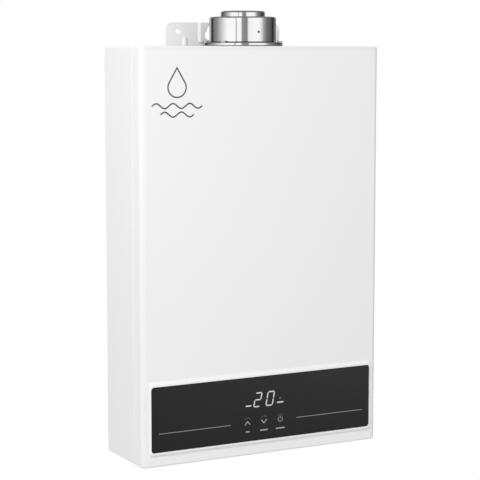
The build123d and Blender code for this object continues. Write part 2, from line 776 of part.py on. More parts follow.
def flue_gasket():
    ring = rod_z(FLANGE_R, Z_TOP, Z_COLLAR, 0, Y_FLUE) - rod_z(AIR_HOLE_R, Z_TOP, Z_COLLAR, 0, Y_FLUE)
    return ring - [rod_z(SCREW_R, Z_TOP, Z_COLLAR, x, y) for x, y in flue_screw_spots()]


def rolled_tube(radius, z0, z1, roll, wall):
    """Upright sheet tube whose top edge is rolled inward, on the flue's axis."""
    lip = radius - roll
    outline = [
        Line((radius, z0), (radius, z1 - roll)),
        CenterArc((lip, z1 - roll), roll, 0, 90),
        Line((lip, z1), (lip, z1 - wall)),
        CenterArc((lip, z1 - roll), roll - wall, 90, -90),
        Line((radius - wall, z1 - roll), (radius - wall, z0)),
        Line((radius - wall, z0), (radius, z0)),
    ]
    return Pos(0, Y_FLUE, 0) * revolve(Plane.XZ * make_face(outline), Axis.Z)


def flue_collar():
    """Outer tube with a foot, a bead above it and four small fixing holes."""
    collar = rolled_tube(COLLAR_R, Z_COLLAR, Z_TOP + COLLAR_H, COLLAR_ROLL, FLUE_T)
    collar += rod_z(BEAD_OUT_R, Z_COLLAR, Z_FLANGE_TOP, 0, Y_FLUE)
    collar += rod_z(FLANGE_R, Z_COLLAR, Z_FLANGE, 0, Y_FLUE)
    collar -= rod_z(COLLAR_R - FLUE_T, Z_COLLAR - PAST, Z_FLANGE_TOP, 0, Y_FLUE)
    collar -= [rod_z(SCREW_R, Z_COLLAR - PAST, Z_FLANGE_TOP, x, y) for x, y in flue_screw_spots()]
    z = Z_TOP + COLLAR_HOLE_RISE
    reach = COLLAR_R + PAST
    collar -= rod_x(COLLAR_HOLE_R, -reach, reach, Y_FLUE, z)
    collar -= rod_y(COLLAR_HOLE_R, Y_FLUE - reach, Y_FLUE + reach, 0, z)
    return collar


def flue_flange():
    """Clamping ring over the collar's foot."""
    ring = rod_z(FLANGE_R, Z_FLANGE, Z_FLANGE_TOP, 0, Y_FLUE)
    ring = fillet(ring.faces().sort_by(Axis.Z)[-1].edges(), FLANGE_ROUND)
    ring -= rod_z(BEAD_OUT_R + FLANGE_GAP, Z_FLANGE - PAST, Z_FLANGE_TOP + PAST, 0, Y_FLUE)
    return ring - [rod_z(SCREW_R, Z_FLANGE - PAST, Z_FLANGE_TOP + PAST, x, y) for x, y in flue_screw_spots()]


def flue_screws():
    spots = [(x, y, Z_FLANGE_TOP) for x, y in flue_screw_spots()]
    return group(cap_screw(spot, (0, 0, -1), SCREW_R, SCREW_HEAD_R, FLUE_SCREW_L) for spot in spots)


def flue_spigot():
    """Inner tube on a square base that sits on the fan's outlet."""
    spigot = rolled_tube(SPIGOT_R, Z_OUTLET, Z_TOP + SPIGOT_H, SPIGOT_ROLL, FLUE_T)
    half = SPIGOT_BASE / 2
    base = block(-half, half, Y_FLUE - half, Y_FLUE + half, Z_OUTLET, Z_OUTLET + FLUE_T)
    return spigot + (base - rod_z(SPIGOT_R - FLUE_T, Z_OUTLET - PAST, Z_OUTLET + 2 * FLUE_T, 0, Y_FLUE))


def scroll_outline(grow):
    """Spiral of three quarter arcs that opens into the outlet duct."""
    big = SCROLL_R + grow
    middle = big - SCROLL_STEP
    small = middle - SCROLL_STEP
    x = X_FAN + SCROLL_SHIFT
    right = x + big
    left = x + SCROLL_TONGUE - grow
    top = Z_FAN - SCROLL_STEP + small
    edges = [
        Line((right, Z_OUTLET), (right, Z_FAN)),
        CenterArc((x, Z_FAN), big, 0, -90),
        CenterArc((x, Z_FAN - SCROLL_STEP), middle, -90, -90),
        CenterArc((x - SCROLL_STEP, Z_FAN - SCROLL_STEP), small, 180, -90),
        Line((x - SCROLL_STEP, top), (left, top)),
        Line((left, top), (left, Z_OUTLET)),
        Line((left, Z_OUTLET), (right, Z_OUTLET)),
    ]
    return make_face(edges)


def fan_housing():
    """Scroll with its back wall, a front flange and a square outlet flange."""
    housing = extrude(upright(Y_SCROLL_BACK) * scroll_outline(0), SCROLL_D)
    housing += extrude(upright(Y_SCROLL_FRONT + SCROLL_WALL) * scroll_outline(SCROLL_FLANGE), SCROLL_WALL)
    half = SPIGOT_BASE / 2
    above = Z_OUTLET - SCROLL_WALL
    housing += block(-half, half, Y_FLUE - half, Y_FLUE + half, above, Z_OUTLET)
    room = scroll_outline(-SCROLL_WALL)
    housing -= extrude(upright(Y_SCROLL_BACK - SCROLL_WALL) * room, SCROLL_D - SCROLL_WALL)
    housing -= rod_y(INLET_R, Y_SCROLL_BACK - 2 * SCROLL_WALL, Y_SCROLL_BACK + PAST, X_FAN, Z_FAN)
    return housing


def motor_boss_spots():
    turns = [90 + 360 / MOTOR_BOSS_COUNT * i for i in range(MOTOR_BOSS_COUNT)]
    reach = MOTOR_BOSS_PITCH_R
    return [(X_FAN + reach * cos(radians(a)), Z_FAN + reach * sin(radians(a))) for a in turns]


def fan_front_plate():
    """Plate that closes the scroll and carries the motor on three bosses."""
    plate = extrude(upright(Y_SCROLL_FRONT) * scroll_outline(SCROLL_FLANGE), SCROLL_WALL)
    above = Z_OUTLET - SCROLL_WALL
    plate -= block(-SCROLL_R, SCROLL_R, Y_FAN_PLATE - PAST, Y_SCROLL_FRONT + PAST, above, Z_OUTLET + PAST)
    plate += [rod_y(MOTOR_BOSS_R, Y_MOTOR, Y_FAN_PLATE, x, z) for x, z in motor_boss_spots()]
    return plate - rod_y(SHAFT_HOLE_R, Y_FAN_PLATE - PAST, Y_SCROLL_FRONT + PAST, X_FAN, Z_FAN)


def bearing_spans():
    return [(Y_MOTOR - BEARING_L, Y_MOTOR), (Y_MOTOR_END, Y_MOTOR_END + BEARING_L)]


def motor_can():
    """Drawn can with a flange and a bearing seat at each end."""
    can = rod_y(MOTOR_R, Y_MOTOR_END, Y_MOTOR, X_FAN, Z_FAN)
    can -= rod_y(MOTOR_R - MOTOR_WALL, Y_MOTOR_END + MOTOR_WALL, Y_MOTOR - MOTOR_WALL, X_FAN, Z_FAN)
    can += rod_y(MOTOR_FLANGE_R, Y_MOTOR - MOTOR_WALL, Y_MOTOR, X_FAN, Z_FAN)
    for y0, y1 in bearing_spans():
        can += rod_y(BEARING_R + BEARING_WALL, y0, y1, X_FAN, Z_FAN)
    return can - rod_y(BEARING_R, Y_MOTOR_END - PAST, Y_MOTOR + PAST, X_FAN, Z_FAN)


def motor_bearings():
    bore = SHAFT_R + SHAFT_GAP
    spans = bearing_spans()
    return group(rod_y(BEARING_R, *span, X_FAN, Z_FAN) - rod_y(bore, *span, X_FAN, Z_FAN) for span in spans)


def motor_shaft():
    return rod_y(SHAFT_R, Y_MOTOR_END, Y_DISC + HUB_L + SHAFT_END, X_FAN, Z_FAN)


def fan_impeller():
    """Disc, hub, curved blades and a rear ring."""
    rim = IMPELLER_R - BLADE_DEPTH
    annulus = Circle(IMPELLER_R) - Circle(rim)
    bow = Circle(BLADE_BEND + BLADE_T) - Circle(BLADE_BEND)
    arcs = annulus & (Pos(IMPELLER_R - BLADE_DEPTH / 2, -BLADE_BEND) * bow)
    blade = arcs.faces().sort_by(Axis.Y)[-1]
    turns = [360 / BLADE_COUNT * i for i in range(BLADE_COUNT)]
    ring_y = Y_IMPELLER_BACK - DISC_T
    centre = Pos(X_FAN, 0, Z_FAN)
    wheel = centre * extrude(upright(Y_DISC + DISC_T) * Circle(IMPELLER_R), DISC_T)
    wheel += rod_y(HUB_R, Y_DISC, Y_DISC + HUB_L, X_FAN, Z_FAN)
    wheel += centre * extrude(upright(Y_IMPELLER_BACK) * annulus, DISC_T)
    blades = [
        centre * extrude(upright(ring_y) * (Rot(0, 0, a) * blade), ring_y - Y_DISC - DISC_T) for a in turns
    ]
    wheel += blades
    return wheel - rod_y(SHAFT_R, Y_DISC - PAST, Y_DISC + HUB_L + PAST, X_FAN, Z_FAN)


def hood_solid(draw_in, drop):
    """Filled form of the hood: a tapered base under an upright box."""
    base = Plane.XY.offset(Z_HOOD - drop)
    neck = Plane.XY.offset(Z_HOOD + HOOD_TAPER - drop)
    depth = Y_EXCH_BACK - Y_EXCH_FRONT
    wide = Pos(0, (Y_EXCH_BACK + Y_EXCH_FRONT) / 2) * Rectangle(2 * (X_EXCH - draw_in), depth - 2 * draw_in)
    box_depth = Y_EXCH_BACK - Y_SCROLL_BACK
    middle = Pos(X_FAN, (Y_EXCH_BACK + Y_SCROLL_BACK) / 2)
    narrow = middle * Rectangle(HOOD_W - 2 * draw_in, box_depth - 2 * draw_in)
    taper = loft([base * wide, neck * narrow])
    return taper + extrude(neck * narrow, Z_FAN + HOOD_TOP - draw_in - (Z_HOOD + HOOD_TAPER - drop))


def exchanger_flange(z0, z1, room):
    """Flat frame round the exchanger's outline."""
    x = X_EXCH + EXCH_FLANGE
    frame = block(-x, x, Y_EXCH_FRONT - EXCH_FLANGE, Y_EXCH_BACK + EXCH_FLANGE, z0, z1)
    inner = X_EXCH - room
    frame -= block(-inner, inner, Y_EXCH_FRONT + room, Y_EXCH_BACK - room, z0 - PAST, z1 + PAST)
    return frame - [rod_z(FLANGE_SCREW_R, z0 - PAST, z1 + PAST, x, y) for x, y in flange_screw_spots()]


def smoke_hood():
    """Sheet hood that leads the burnt gas from the exchanger to the fan's inlet."""
    hood = hood_solid(0, 0) - hood_solid(HOOD_SHEET, HOOD_SHEET + PAST / 2)
    hood += exchanger_flange(Z_HOOD, Z_HOOD + HOOD_SHEET, HOOD_SHEET)
    return hood - rod_y(INLET_R, Y_SCROLL_BACK - PAST, Y_SCROLL_BACK + 2 * HOOD_SHEET, X_FAN, Z_FAN)


def exchanger_shell():
    """Copper box with a flange at each end and holes for the tube and electrodes."""
    shell = block(-X_EXCH, X_EXCH, Y_EXCH_FRONT, Y_EXCH_BACK, Z_CHAMBER, Z_HOOD)
    x = X_EXCH - EXCH_SHEET
    y = (Y_EXCH_FRONT + EXCH_SHEET, Y_EXCH_BACK - EXCH_SHEET)
    shell -= block(-x, x, *y, Z_CHAMBER - PAST, Z_HOOD + PAST)
    shell += exchanger_flange(Z_CHAMBER, Z_CHAMBER + SHEET, EXCH_SHEET)
    shell += exchanger_flange(Z_HOOD - SHEET, Z_HOOD, EXCH_SHEET)
    shell -= [rod_x(TUBE_R, -X_EXCH - PAST, X_EXCH + PAST, row, Z_TUBE) for row in tube_rows()]
    wall = (Y_EXCH_FRONT - PAST, Y_EXCH_FRONT + EXCH_SHEET + PAST)
    return shell - [rod_y(INSULATOR_R, *wall, s * ELECTRODE_X, Z_ELECTRODE) for s in (-1, 1)]


def exchanger_fins():
    """Thin plates across the five tube runs."""
    z = (Z_TUBE - FIN_H / 2, Z_TUBE + FIN_H / 2)
    y = (Y_EXCH_FRONT + FIN_EDGE, Y_EXCH_BACK - FIN_EDGE)
    fin = block(-FIN_T / 2, FIN_T / 2, *y, *z)
    fin -= [rod_x(TUBE_R, -PAST, PAST, row, Z_TUBE) for row in tube_rows()]
    count = int((2 * X_EXCH - FIN_PITCH) // FIN_PITCH)
    return group(Pos((i - (count - 1) / 2) * FIN_PITCH, 0, 0) * fin for i in range(count))


def exchanger_tube():
    """One tube, back and forth through the fins, with half-round bends outside the shell."""
    rows = tube_rows()
    turn = X_EXCH + TUBE_STRAIGHT
    edges = []
    start = (X_TUBE_END, rows[0], Z_TUBE)
    for i, row in enumerate(rows):
        side = -1 if i % 2 == 0 else 1
        last = i == len(rows) - 1
        end = (side * (X_TUBE_END if last else turn), row, Z_TUBE)
        edges.append(Line(start, end))
        if not last:
            start = (end[0], rows[i + 1], Z_TUBE)
            bulge = (end[0] + side * TUBE_PITCH / 2, row + TUBE_PITCH / 2, Z_TUBE)
            edges.append(ThreePointArc(end, bulge, start))
    path = Wire([edge for curve in edges for edge in curve.edges()])
    section = Circle(TUBE_R) - Circle(TUBE_R - TUBE_WALL)
    return sweep(Plane(origin=(X_TUBE_END, rows[0], Z_TUBE), z_dir=(-1, 0, 0)) * section, path=path)


def flange_screws():
    """Screws of the joint above the exchanger and of the one below it."""
    seats = (Z_HOOD + HOOD_SHEET, Z_CHAMBER + SHEET)
    return group(
        cap_screw((x, y, seat), (0, 0, -1), FLANGE_SCREW_R, FLANGE_SCREW_HEAD_R, SCREW_L)
        for seat in seats
        for x, y in flange_screw_spots()
    )


def casing_screws():
    """The bracket's, the cover's and the exchanger flanges' screws."""
    return group([bracket_screws(), cover_screws(), flange_screws()])


def rear_rail():
    """Hat-shaped rail that carries the exchanger on the casing's back."""
    z0 = Z_CHAMBER + RAIL_RISE
    z1 = z0 + RAIL_H
    hat = block(-X_EXCH, X_EXCH, Y_EXCH_BACK, Y_BACK_IN, z0, z1)
    hat += block(-X_EXCH, X_EXCH, Y_BACK_IN - SHEET, Y_BACK_IN, z0 - RAIL_FOOT, z1 + RAIL_FOOT)
    room = (Y_EXCH_BACK + SHEET, Y_BACK_IN + PAST, z0 + SHEET, z1 - SHEET)
    return hat - block(-X_EXCH - PAST, X_EXCH + PAST, *room)


def burner_box():
    """Frame round the burner bars, with a ledge front and back and a hole for each nozzle."""
    box = block(-X_EXCH, X_EXCH, Y_EXCH_FRONT, Y_EXCH_BACK, Z_BURNER, Z_CHAMBER)
    x = X_EXCH - SHEET
    y = (Y_EXCH_FRONT + SHEET, Y_EXCH_BACK - SHEET)
    box -= block(-x, x, *y, Z_BURNER + SHEET, Z_CHAMBER + PAST)
    ledge = (Y_EXCH_FRONT + BURNER_LEDGE, Y_EXCH_BACK - BURNER_LEDGE)
    box -= block(-x, x, *ledge, Z_BURNER - PAST, Z_BURNER + SHEET + PAST)
    box += exchanger_flange(Z_CHAMBER - SHEET, Z_CHAMBER, SHEET)
    wall = (Y_EXCH_FRONT - PAST, Y_EXCH_FRONT + SHEET + PAST)
    return box - [rod_y(NOZZLE_HOLE_R, *wall, place, Z_NOZZLE) for place in bar_places()]


def burner_bars():
    """Slotted bars that stand side by side on the ledges."""
    y0 = Y_EXCH_FRONT + SHEET + BAR_GAP
    y1 = Y_EXCH_BACK - SHEET - BAR_GAP
    z0 = Z_BURNER + SHEET
    top = z0 + BAR_H
    bar = block(-BAR_W / 2, BAR_W / 2, y0, y1, z0, top)
    bar = fillet(bar.faces().sort_by(Axis.Z)[-1].edges().filter_by(Axis.Y), BAR_ROUND)
    room = BAR_W / 2 - BAR_WALL
    bar -= block(-room, room, y0 + BAR_WALL, y1 - BAR_WALL, z0 + BAR_WALL, top - BAR_ROUND)
    bar -= rod_y(VENTURI_R, y0 - PAST, y0 + 2 * BAR_WALL, 0, Z_NOZZLE)
    pitch = (y1 - y0) / BAR_SLOT_COUNT
    for i in range(BAR_SLOT_COUNT):
        middle = y0 + (i + 0.5) * pitch
        span = (middle - BAR_SLOT_W / 2, middle + BAR_SLOT_W / 2)
        bar -= block(-BAR_SLOT_L / 2, BAR_SLOT_L / 2, *span, top - BAR_SLOT_DEPTH, top + PAST)
    return group(Pos(place, 0, 0) * bar for place in bar_places())


def gas_manifold():
    """Hollow rail on the burner box's front, fed from below."""
    x = X_EXCH - MANIFOLD_END
    y0 = Y_EXCH_FRONT - MANIFOLD_D
    z0 = Z_NOZZLE - MANIFOLD_H / 2
    z1 = Z_NOZZLE + MANIFOLD_H / 2
    rail = block(-x, x, y0, Y_EXCH_FRONT, z0, z1)
    w = MANIFOLD_WALL
    rail -= block(-x + w, x - w, y0 + w, Y_EXCH_FRONT - w, z0 + w, z1 - w)
    rail -= rod_z(MANIFOLD_D / 2 - w, z0 - PAST, z0 + w + PAST, 0, Y_MANIFOLD)
    back = (Y_EXCH_FRONT - w - PAST, Y_EXCH_FRONT + PAST)
    return rail - [rod_y(NOZZLE_R, *back, place, Z_NOZZLE) for place in bar_places()]


def gas_nozzles():
    y0 = Y_EXCH_FRONT - MANIFOLD_WALL
    shoulder = Y_EXCH_FRONT + SHEET
    tip = shoulder + 2 * BAR_GAP
    return group(
        rod_y(NOZZLE_R, y0, shoulder, place, Z_NOZZLE) + rod_y(NOZZLE_TIP_R, shoulder, tip, place, Z_NOZZLE)
        for place in bar_places()
    )


def electrode_insulators():
    """Ceramic sleeves through the chamber's front wall."""
    y = Y_EXCH_FRONT
    sleeves = []
    for x in (-ELECTRODE_X, ELECTRODE_X):
        sleeve = rod_y(INSULATOR_R, y - INSULATOR_OUT, y + INSULATOR_IN, x, Z_ELECTRODE)
        sleeve += rod_y(INSULATOR_FLANGE_R, y - INSULATOR_FLANGE_T, y, x, Z_ELECTRODE)
        hole = (y - INSULATOR_OUT - PAST, y + INSULATOR_IN + PAST)
        sleeves.append(sleeve - rod_y(ELECTRODE_R, *hole, x, Z_ELECTRODE))
    return group(sleeves)


def electrode_rods():
    """Igniting rod on the right and flame-sensing rod on the left."""
    start = Y_EXCH_FRONT - ELECTRODE_TAIL
    end = Y_EXCH_FRONT + ELECTRODE_REACH
    z = (Z_ELECTRODE, Z_ELECTRODE - ELECTRODE_TIP)
    return group(
        bent_tube([(x, start, z[0]), (x, end, z[0]), (x, end, z[1])], ELECTRODE_BEND, ELECTRODE_R)
        for x in (-ELECTRODE_X, ELECTRODE_X)
    )


def igniter():
    z = (Z_ELECTRODE - IGNITER_H / 2, Z_ELECTRODE + IGNITER_H / 2)
    box = block(X_IGNITER, X_IN, Y_IGNITER, Y_IGNITER + IGNITER_D, *z)
    return fillet(box.faces().sort_by(Axis.X)[0].edges(), IGNITER_ROUND)


def ignition_lead():
    """Insulated lead from the igniting rod to the front of the igniter."""
    y = Y_EXCH_FRONT - INSULATOR_OUT - LEAD_R
    x = X_IGNITER + IGNITER_W / 2
    start = (ELECTRODE_X + ELECTRODE_R, y, Z_ELECTRODE)
    return bent_tube([start, (x, y, Z_ELECTRODE), (x, Y_IGNITER, Z_ELECTRODE)], LEAD_BEND, LEAD_R)


def overheat_thermostat():
    z = Z_CHAMBER + THERMOSTAT_RISE
    y = Y_EXCH_FRONT - THERMOSTAT_T
    disc = rod_y(THERMOSTAT_R, y, Y_EXCH_FRONT, X_THERMOSTAT, z)
    pins = (X_THERMOSTAT - THERMOSTAT_PIN_X, X_THERMOSTAT + THERMOSTAT_PIN_X)
    return disc + [rod_y(ELECTRODE_R, y - THERMOSTAT_T / 2, y, x, z) for x in pins]


def connection(x, top, bore_top):
    """Threaded nipple below the casing's floor with a flange above it."""
    low = Z_BOTTOM - LOCKNUT_H
    end = low - THREAD_L
    thread = rod_z(THREAD_R, end, low, x, Y_CONNECT)
    thread = chamfer(thread.edges().sort_by(Axis.Z)[0], THREAD_CHAMFER)
    nipple = thread + rod_z(NECK_R, low, Z_FLOOR, x, Y_CONNECT)
    nipple += rod_z(NIPPLE_FLANGE_R, Z_FLOOR, Z_FLOOR + NIPPLE_FLANGE_T, x, Y_CONNECT)
    nipple += rod_z(NIPPLE_R, Z_FLOOR, top, x, Y_CONNECT)
    return nipple - rod_z(NIPPLE_BORE_R, end - PAST, bore_top, x, Y_CONNECT)


def gas_inlet_nipple():
    return connection(0, Z_NIPPLE, Z_NIPPLE + PAST)


def water_inlet_nipple():
    return connection(X_COLD, Z_NIPPLE, Z_NIPPLE + PAST)


def connection_nuts():
    """Locknuts that draw the three connections onto the casing's floor."""
    low = Z_BOTTOM - LOCKNUT_H
    return group(
        hexagon(LOCKNUT_R, NECK_R, Plane(origin=(x, Y_CONNECT, low)), LOCKNUT_H) for x in (X_HOT, 0, X_COLD)
    )


def inlet_filter():
    """Perforated cup that rests on the mouth of the cold nipple."""
    mouth = Z_BOTTOM - LOCKNUT_H - THREAD_L
    cup_r = NIPPLE_BORE_R - FILTER_GAP
    cup = rod_z(cup_r, mouth, mouth + FILTER_L, X_COLD, Y_CONNECT)
    cup += rod_z(NIPPLE_BORE_R + FILTER_WALL, mouth - FILTER_RIM_T, mouth, X_COLD, Y_CONNECT)
    top = mouth + FILTER_L - FILTER_WALL
    cup -= rod_z(cup_r - FILTER_WALL, mouth - FILTER_RIM_T - PAST, top, X_COLD, Y_CONNECT)
    reach = NIPPLE_BORE_R + PAST
    for i in range(4):
        z = mouth + 4 * FILTER_HOLE_R * (i + 1)
        cup -= rod_x(FILTER_HOLE_R, X_COLD - reach, X_COLD + reach, Y_CONNECT, z)
        cup -= rod_y(FILTER_HOLE_R, Y_CONNECT - reach, Y_CONNECT + reach, X_COLD, z)
    return cup


def sensor_tube():
    body = rod_z(SENSOR_R, Z_NIPPLE, Z_SENSOR, X_COLD, Y_CONNECT)
    middle = (Z_NIPPLE + Z_SENSOR) / 2
    half = SENSOR_PAD_W / 2
    face = X_COLD + SENSOR_R + SENSOR_PAD
    body += block(X_COLD, face, Y_CONNECT - half, Y_CONNECT + half, middle - half, middle + half)
    top = Z_SENSOR - SOCKET_DEPTH
    body -= rod_z(SENSOR_BORE_R, Z_NIPPLE - PAST, top, X_COLD, Y_CONNECT)
    return body - rod_z(TUBE_R, top - PAST, Z_SENSOR + PAST, X_COLD, Y_CONNECT)


def spider_spans():
    low = Z_NIPPLE + SPIDER_EDGE
    high = Z_SENSOR - SOCKET_DEPTH - SPIDER_EDGE
    return [(low, low + SPIDER_T), (high - SPIDER_T, high)]


def rotor_bearings():
    """Two three-armed holders for the ends of the rotor's pin."""
    holders = []
    for z0, z1 in spider_spans():
        rim = rod_z(SENSOR_BORE_R, z0, z1, X_COLD, Y_CONNECT)
        holder = rim - rod_z(SENSOR_BORE_R - SPIDER_ARM, z0, z1, X_COLD, Y_CONNECT)
        holder += rod_z(SPIDER_HUB_R, z0, z1, X_COLD, Y_CONNECT)
        arm = block(0, SENSOR_BORE_R - SPIDER_ARM / 2, -SPIDER_ARM / 2, SPIDER_ARM / 2, z0, z1)
        holder += [Pos(X_COLD, Y_CONNECT, 0) * (Rot(0, 0, 120 * i) * arm) for i in range(3)]
        bore = ROTOR_PIN_R + SHAFT_GAP
        holders.append(holder - rod_z(bore, z0 - PAST, z1 + PAST, X_COLD, Y_CONNECT))
    return group(holders)


def flow_sensor_body():
    """Sensor tube with its two rotor holders pressed in."""
    return group([sensor_tube(), rotor_bearings()])


def flow_rotor():
    """Turbine that the water turns, on a pin between the two holders."""
    low, high = spider_spans()
    rotor = rod_z(ROTOR_PIN_R, low[0], high[1], X_COLD, Y_CONNECT)
    rotor += rod_z(ROTOR_HUB_R, low[1] + ROTOR_GAP, high[0] - ROTOR_GAP, X_COLD, Y_CONNECT)
    reach = SENSOR_BORE_R - ROTOR_TIP_GAP
    envelope = rod_z(reach, low[1], high[0], X_COLD, Y_CONNECT)
    middle = (low[1] + high[0]) / 2
    vane = Rot(VANE_TILT, 0, 0) * Pos(reach / 2, 0, 0) * Box(reach, VANE_T, VANE_L)
    for i in range(VANE_COUNT):
        rotor += Pos(X_COLD, Y_CONNECT, middle) * (Rot(0, 0, 360 / VANE_COUNT * i) * vane) & envelope
    return rotor


def drop_heights(low):
    """Heights of a pipe's two bends, as shares of the room under the burner box."""
    room = Z_BURNER - low
    return low + PIPE_FIRST_BEND * room, low + PIPE_SECOND_BEND * room


def cold_pipe():
    row = tube_rows()[0]
    first, second = drop_heights(Z_SENSOR)
    points = [
        (X_COLD, Y_CONNECT, Z_SENSOR - SOCKET_DEPTH),
        (X_COLD, Y_CONNECT, first),
        (X_PIPE, row, second),
        (X_PIPE, row, Z_TUBE),
        (X_TUBE_END, row, Z_TUBE),
    ]
    return bent_tube(points, PIPE_BEND, TUBE_R, TUBE_WALL)


def hot_pipe():
    row = tube_rows()[-1]
    first, second = drop_heights(Z_BLOCK_TOP)
    points = [
        (-X_TUBE_END, row, Z_TUBE),
        (-X_PIPE, row, Z_TUBE),
        (-X_PIPE, row, second),
        (X_HOT, Y_CONNECT, first),
        (X_HOT, Y_CONNECT, Z_BLOCK_TOP - SOCKET_DEPTH),
    ]
    return bent_tube(points, PIPE_BEND, TUBE_R, TUBE_WALL)


def gas_valve_body():
    half_w = VALVE_W / 2
    half_d = VALVE_D / 2
    body = block(-half_w, half_w, Y_CONNECT - half_d, Y_CONNECT + half_d, Z_NIPPLE, Z_VALVE)
    body = fillet(body.edges().filter_by(Axis.Z), VALVE_ROUND)
    body -= rod_z(NIPPLE_BORE_R, Z_NIPPLE - PAST, Z_NIPPLE + NIPPLE_BORE_R, 0, Y_CONNECT)
    outlet = Y_CONNECT - VALVE_OUTLET_SHIFT
    body -= rod_z(GAS_PIPE_R - TUBE_WALL, Z_VALVE - NIPPLE_BORE_R, Z_VALVE + PAST, 0, outlet)
    return body - rod_x(PLUNGER_R, X_COIL - PLUNGER_BACK, X_COIL + PAST, Y_CONNECT, Z_COIL)


def solenoid_coils():
    """Main coil above, with its plunger bore, and the safety coil below."""
    upper = rod_x(COIL_R, X_COIL, X_COIL + COIL_L, Y_CONNECT, Z_COIL)
    upper -= rod_x(PLUNGER_R, X_COIL - PAST, X_COIL + COIL_L - COIL_END, Y_CONNECT, Z_COIL)
    lower = rod_x(COIL_R, X_COIL, X_COIL + COIL_L, Y_CONNECT, Z_COIL - COIL_SPACING)
    return group([upper, lower])


def valve_plunger():
    return rod_x(PLUNGER_R - PLUNGER_GAP, X_PLUNGER, X_PLUNGER + PLUNGER_L, Y_CONNECT, Z_COIL)


def gas_pipe():
    y = Y_CONNECT - VALVE_OUTLET_SHIFT
    low = Z_NOZZLE - MANIFOLD_H / 2
    middle = (Z_VALVE + low) / 2
    points = [(0, y, Z_VALVE), (0, y, middle), (0, Y_MANIFOLD, middle), (0, Y_MANIFOLD, low)]
    return bent_tube(points, GAS_PIPE_BEND, GAS_PIPE_R, TUBE_WALL)


def outlet_block():
    """Brass block on the hot nipple, with a socket for the pipe and a port for the drain plug."""
    half = BLOCK_D / 2
    x = (X_HOT - BLOCK_LEFT, X_HOT + BLOCK_RIGHT)
    body = block(*x, Y_CONNECT - half, Y_CONNECT + half, Z_BLOCK, Z_BLOCK_TOP)
    body = fillet(body.edges().filter_by(Axis.Z), VALVE_ROUND)
    socket = Z_BLOCK_TOP - SOCKET_DEPTH
    nipple = connection(X_HOT, Z_BLOCK + PAST, Z_BLOCK + 2 * PAST)
    body = body + nipple - rod_z(NIPPLE_BORE_R, Z_BLOCK - PAST, socket, X_HOT, Y_CONNECT)
    body -= rod_z(TUBE_R, socket - PAST, Z_BLOCK_TOP + PAST, X_HOT, Y_CONNECT)
    body -= rod_z(DRAIN_R, Z_BLOCK - PAST, Z_DRAIN_TOP, X_DRAIN, Y_CONNECT)
    body -= rod_x(DRAIN_CROSS_R, X_HOT, X_DRAIN, Y_CONNECT, Z_DRAIN_TOP - DRAIN_CROSS_R)
    wall = (X_HOT - BLOCK_LEFT - PAST, X_HOT)
    return body - rod_x(THERMISTOR_R, *wall, Y_CONNECT, (Z_BLOCK + Z_BLOCK_TOP) / 2)


def outlet_thermistor():
    z = (Z_BLOCK + Z_BLOCK_TOP) / 2
    face = X_HOT - BLOCK_LEFT
    tip = X_HOT - NIPPLE_BORE_R + THERMISTOR_TIP
    head = rod_x(THERMISTOR_HEAD_R, face - THERMISTOR_HEAD_L, face, Y_CONNECT, z)
    return head + rod_x(THERMISTOR_R, face, tip, Y_CONNECT, z)


def temperature_sensors():
    return group([overheat_thermostat(), outlet_thermistor()])


def drain_plug():
    """Screw plug with a fluted knob below the casing and a groove for its seal ring."""
    stem = DRAIN_R - DRAIN_GAP
    plug = rod_z(stem, Z_KNOB, Z_STEM_TOP, X_DRAIN, Y_CONNECT)
    ring = (Z_SEAL_RING, Z_SEAL_RING + SEAL_RING_H)
    groove = rod_z(stem + PAST, *ring, X_DRAIN, Y_CONNECT)
    plug -= groove - rod_z(DRAIN_R - SEAL_RING_DEPTH, *ring, X_DRAIN, Y_CONNECT)
    knob = rod_z(KNOB_R, Z_KNOB - KNOB_H, Z_KNOB, X_DRAIN, Y_CONNECT)
    knob = fillet(knob.edges().sort_by(Axis.Z)[0], KNOB_ROUND)
    for i in range(KNOB_FLUTES):
        turn = radians(360 / KNOB_FLUTES * i)
        x = X_DRAIN + KNOB_R * cos(turn)
        y = Y_CONNECT + KNOB_R * sin(turn)
        knob -= rod_z(KNOB_FLUTE_R, Z_KNOB - KNOB_H - PAST, Z_KNOB + PAST, x, y)
    return plug + knob


def drain_seal():
    """Rubber ring in the plug's groove."""
    z0 = Z_SEAL_RING + SEAL_RING_GAP
    z1 = Z_SEAL_RING + SEAL_RING_H - SEAL_RING_GAP
    outer = DRAIN_R - SEAL_RING_GAP
    inner = DRAIN_R - SEAL_RING_DEPTH + SEAL_RING_GAP
    return rod_z(outer, z0, z1, X_DRAIN, Y_CONNECT) - rod_z(inner, z0, z1, X_DRAIN, Y_CONNECT)


def control_box():
    """Open-fronted plastic box on the casing's left wall."""
    x1 = -X_IN + CONTROL_W
    z1 = Z_CONTROL + CONTROL_H
    box = block(-X_IN, x1, Y_CONTROL_FRONT, Y_CONTROL, Z_CONTROL, z1)
    w = CONTROL_WALL
    box -= block(-X_IN + w, x1 - w, Y_CONTROL_FRONT - PAST, Y_CONTROL - w, Z_CONTROL + w, z1 - w)
    post = (-X_IN + w, -X_IN + w + MAIN_BOARD_GAP)
    for y in (Y_CONTROL_FRONT + CONTROL_D / 4, Y_CONTROL - CONTROL_D / 4):
        for z in (Z_CONTROL + CONTROL_H / 8, z1 - CONTROL_H / 8):
            box += rod_x(BOARD_POST_R, *post, y, z)
    return box


def control_box_lid():
    z = (Z_CONTROL, Z_CONTROL + CONTROL_H)
    return block(-X_IN, -X_IN + CONTROL_W, Y_CONTROL_FRONT - CONTROL_WALL, Y_CONTROL_FRONT, *z)


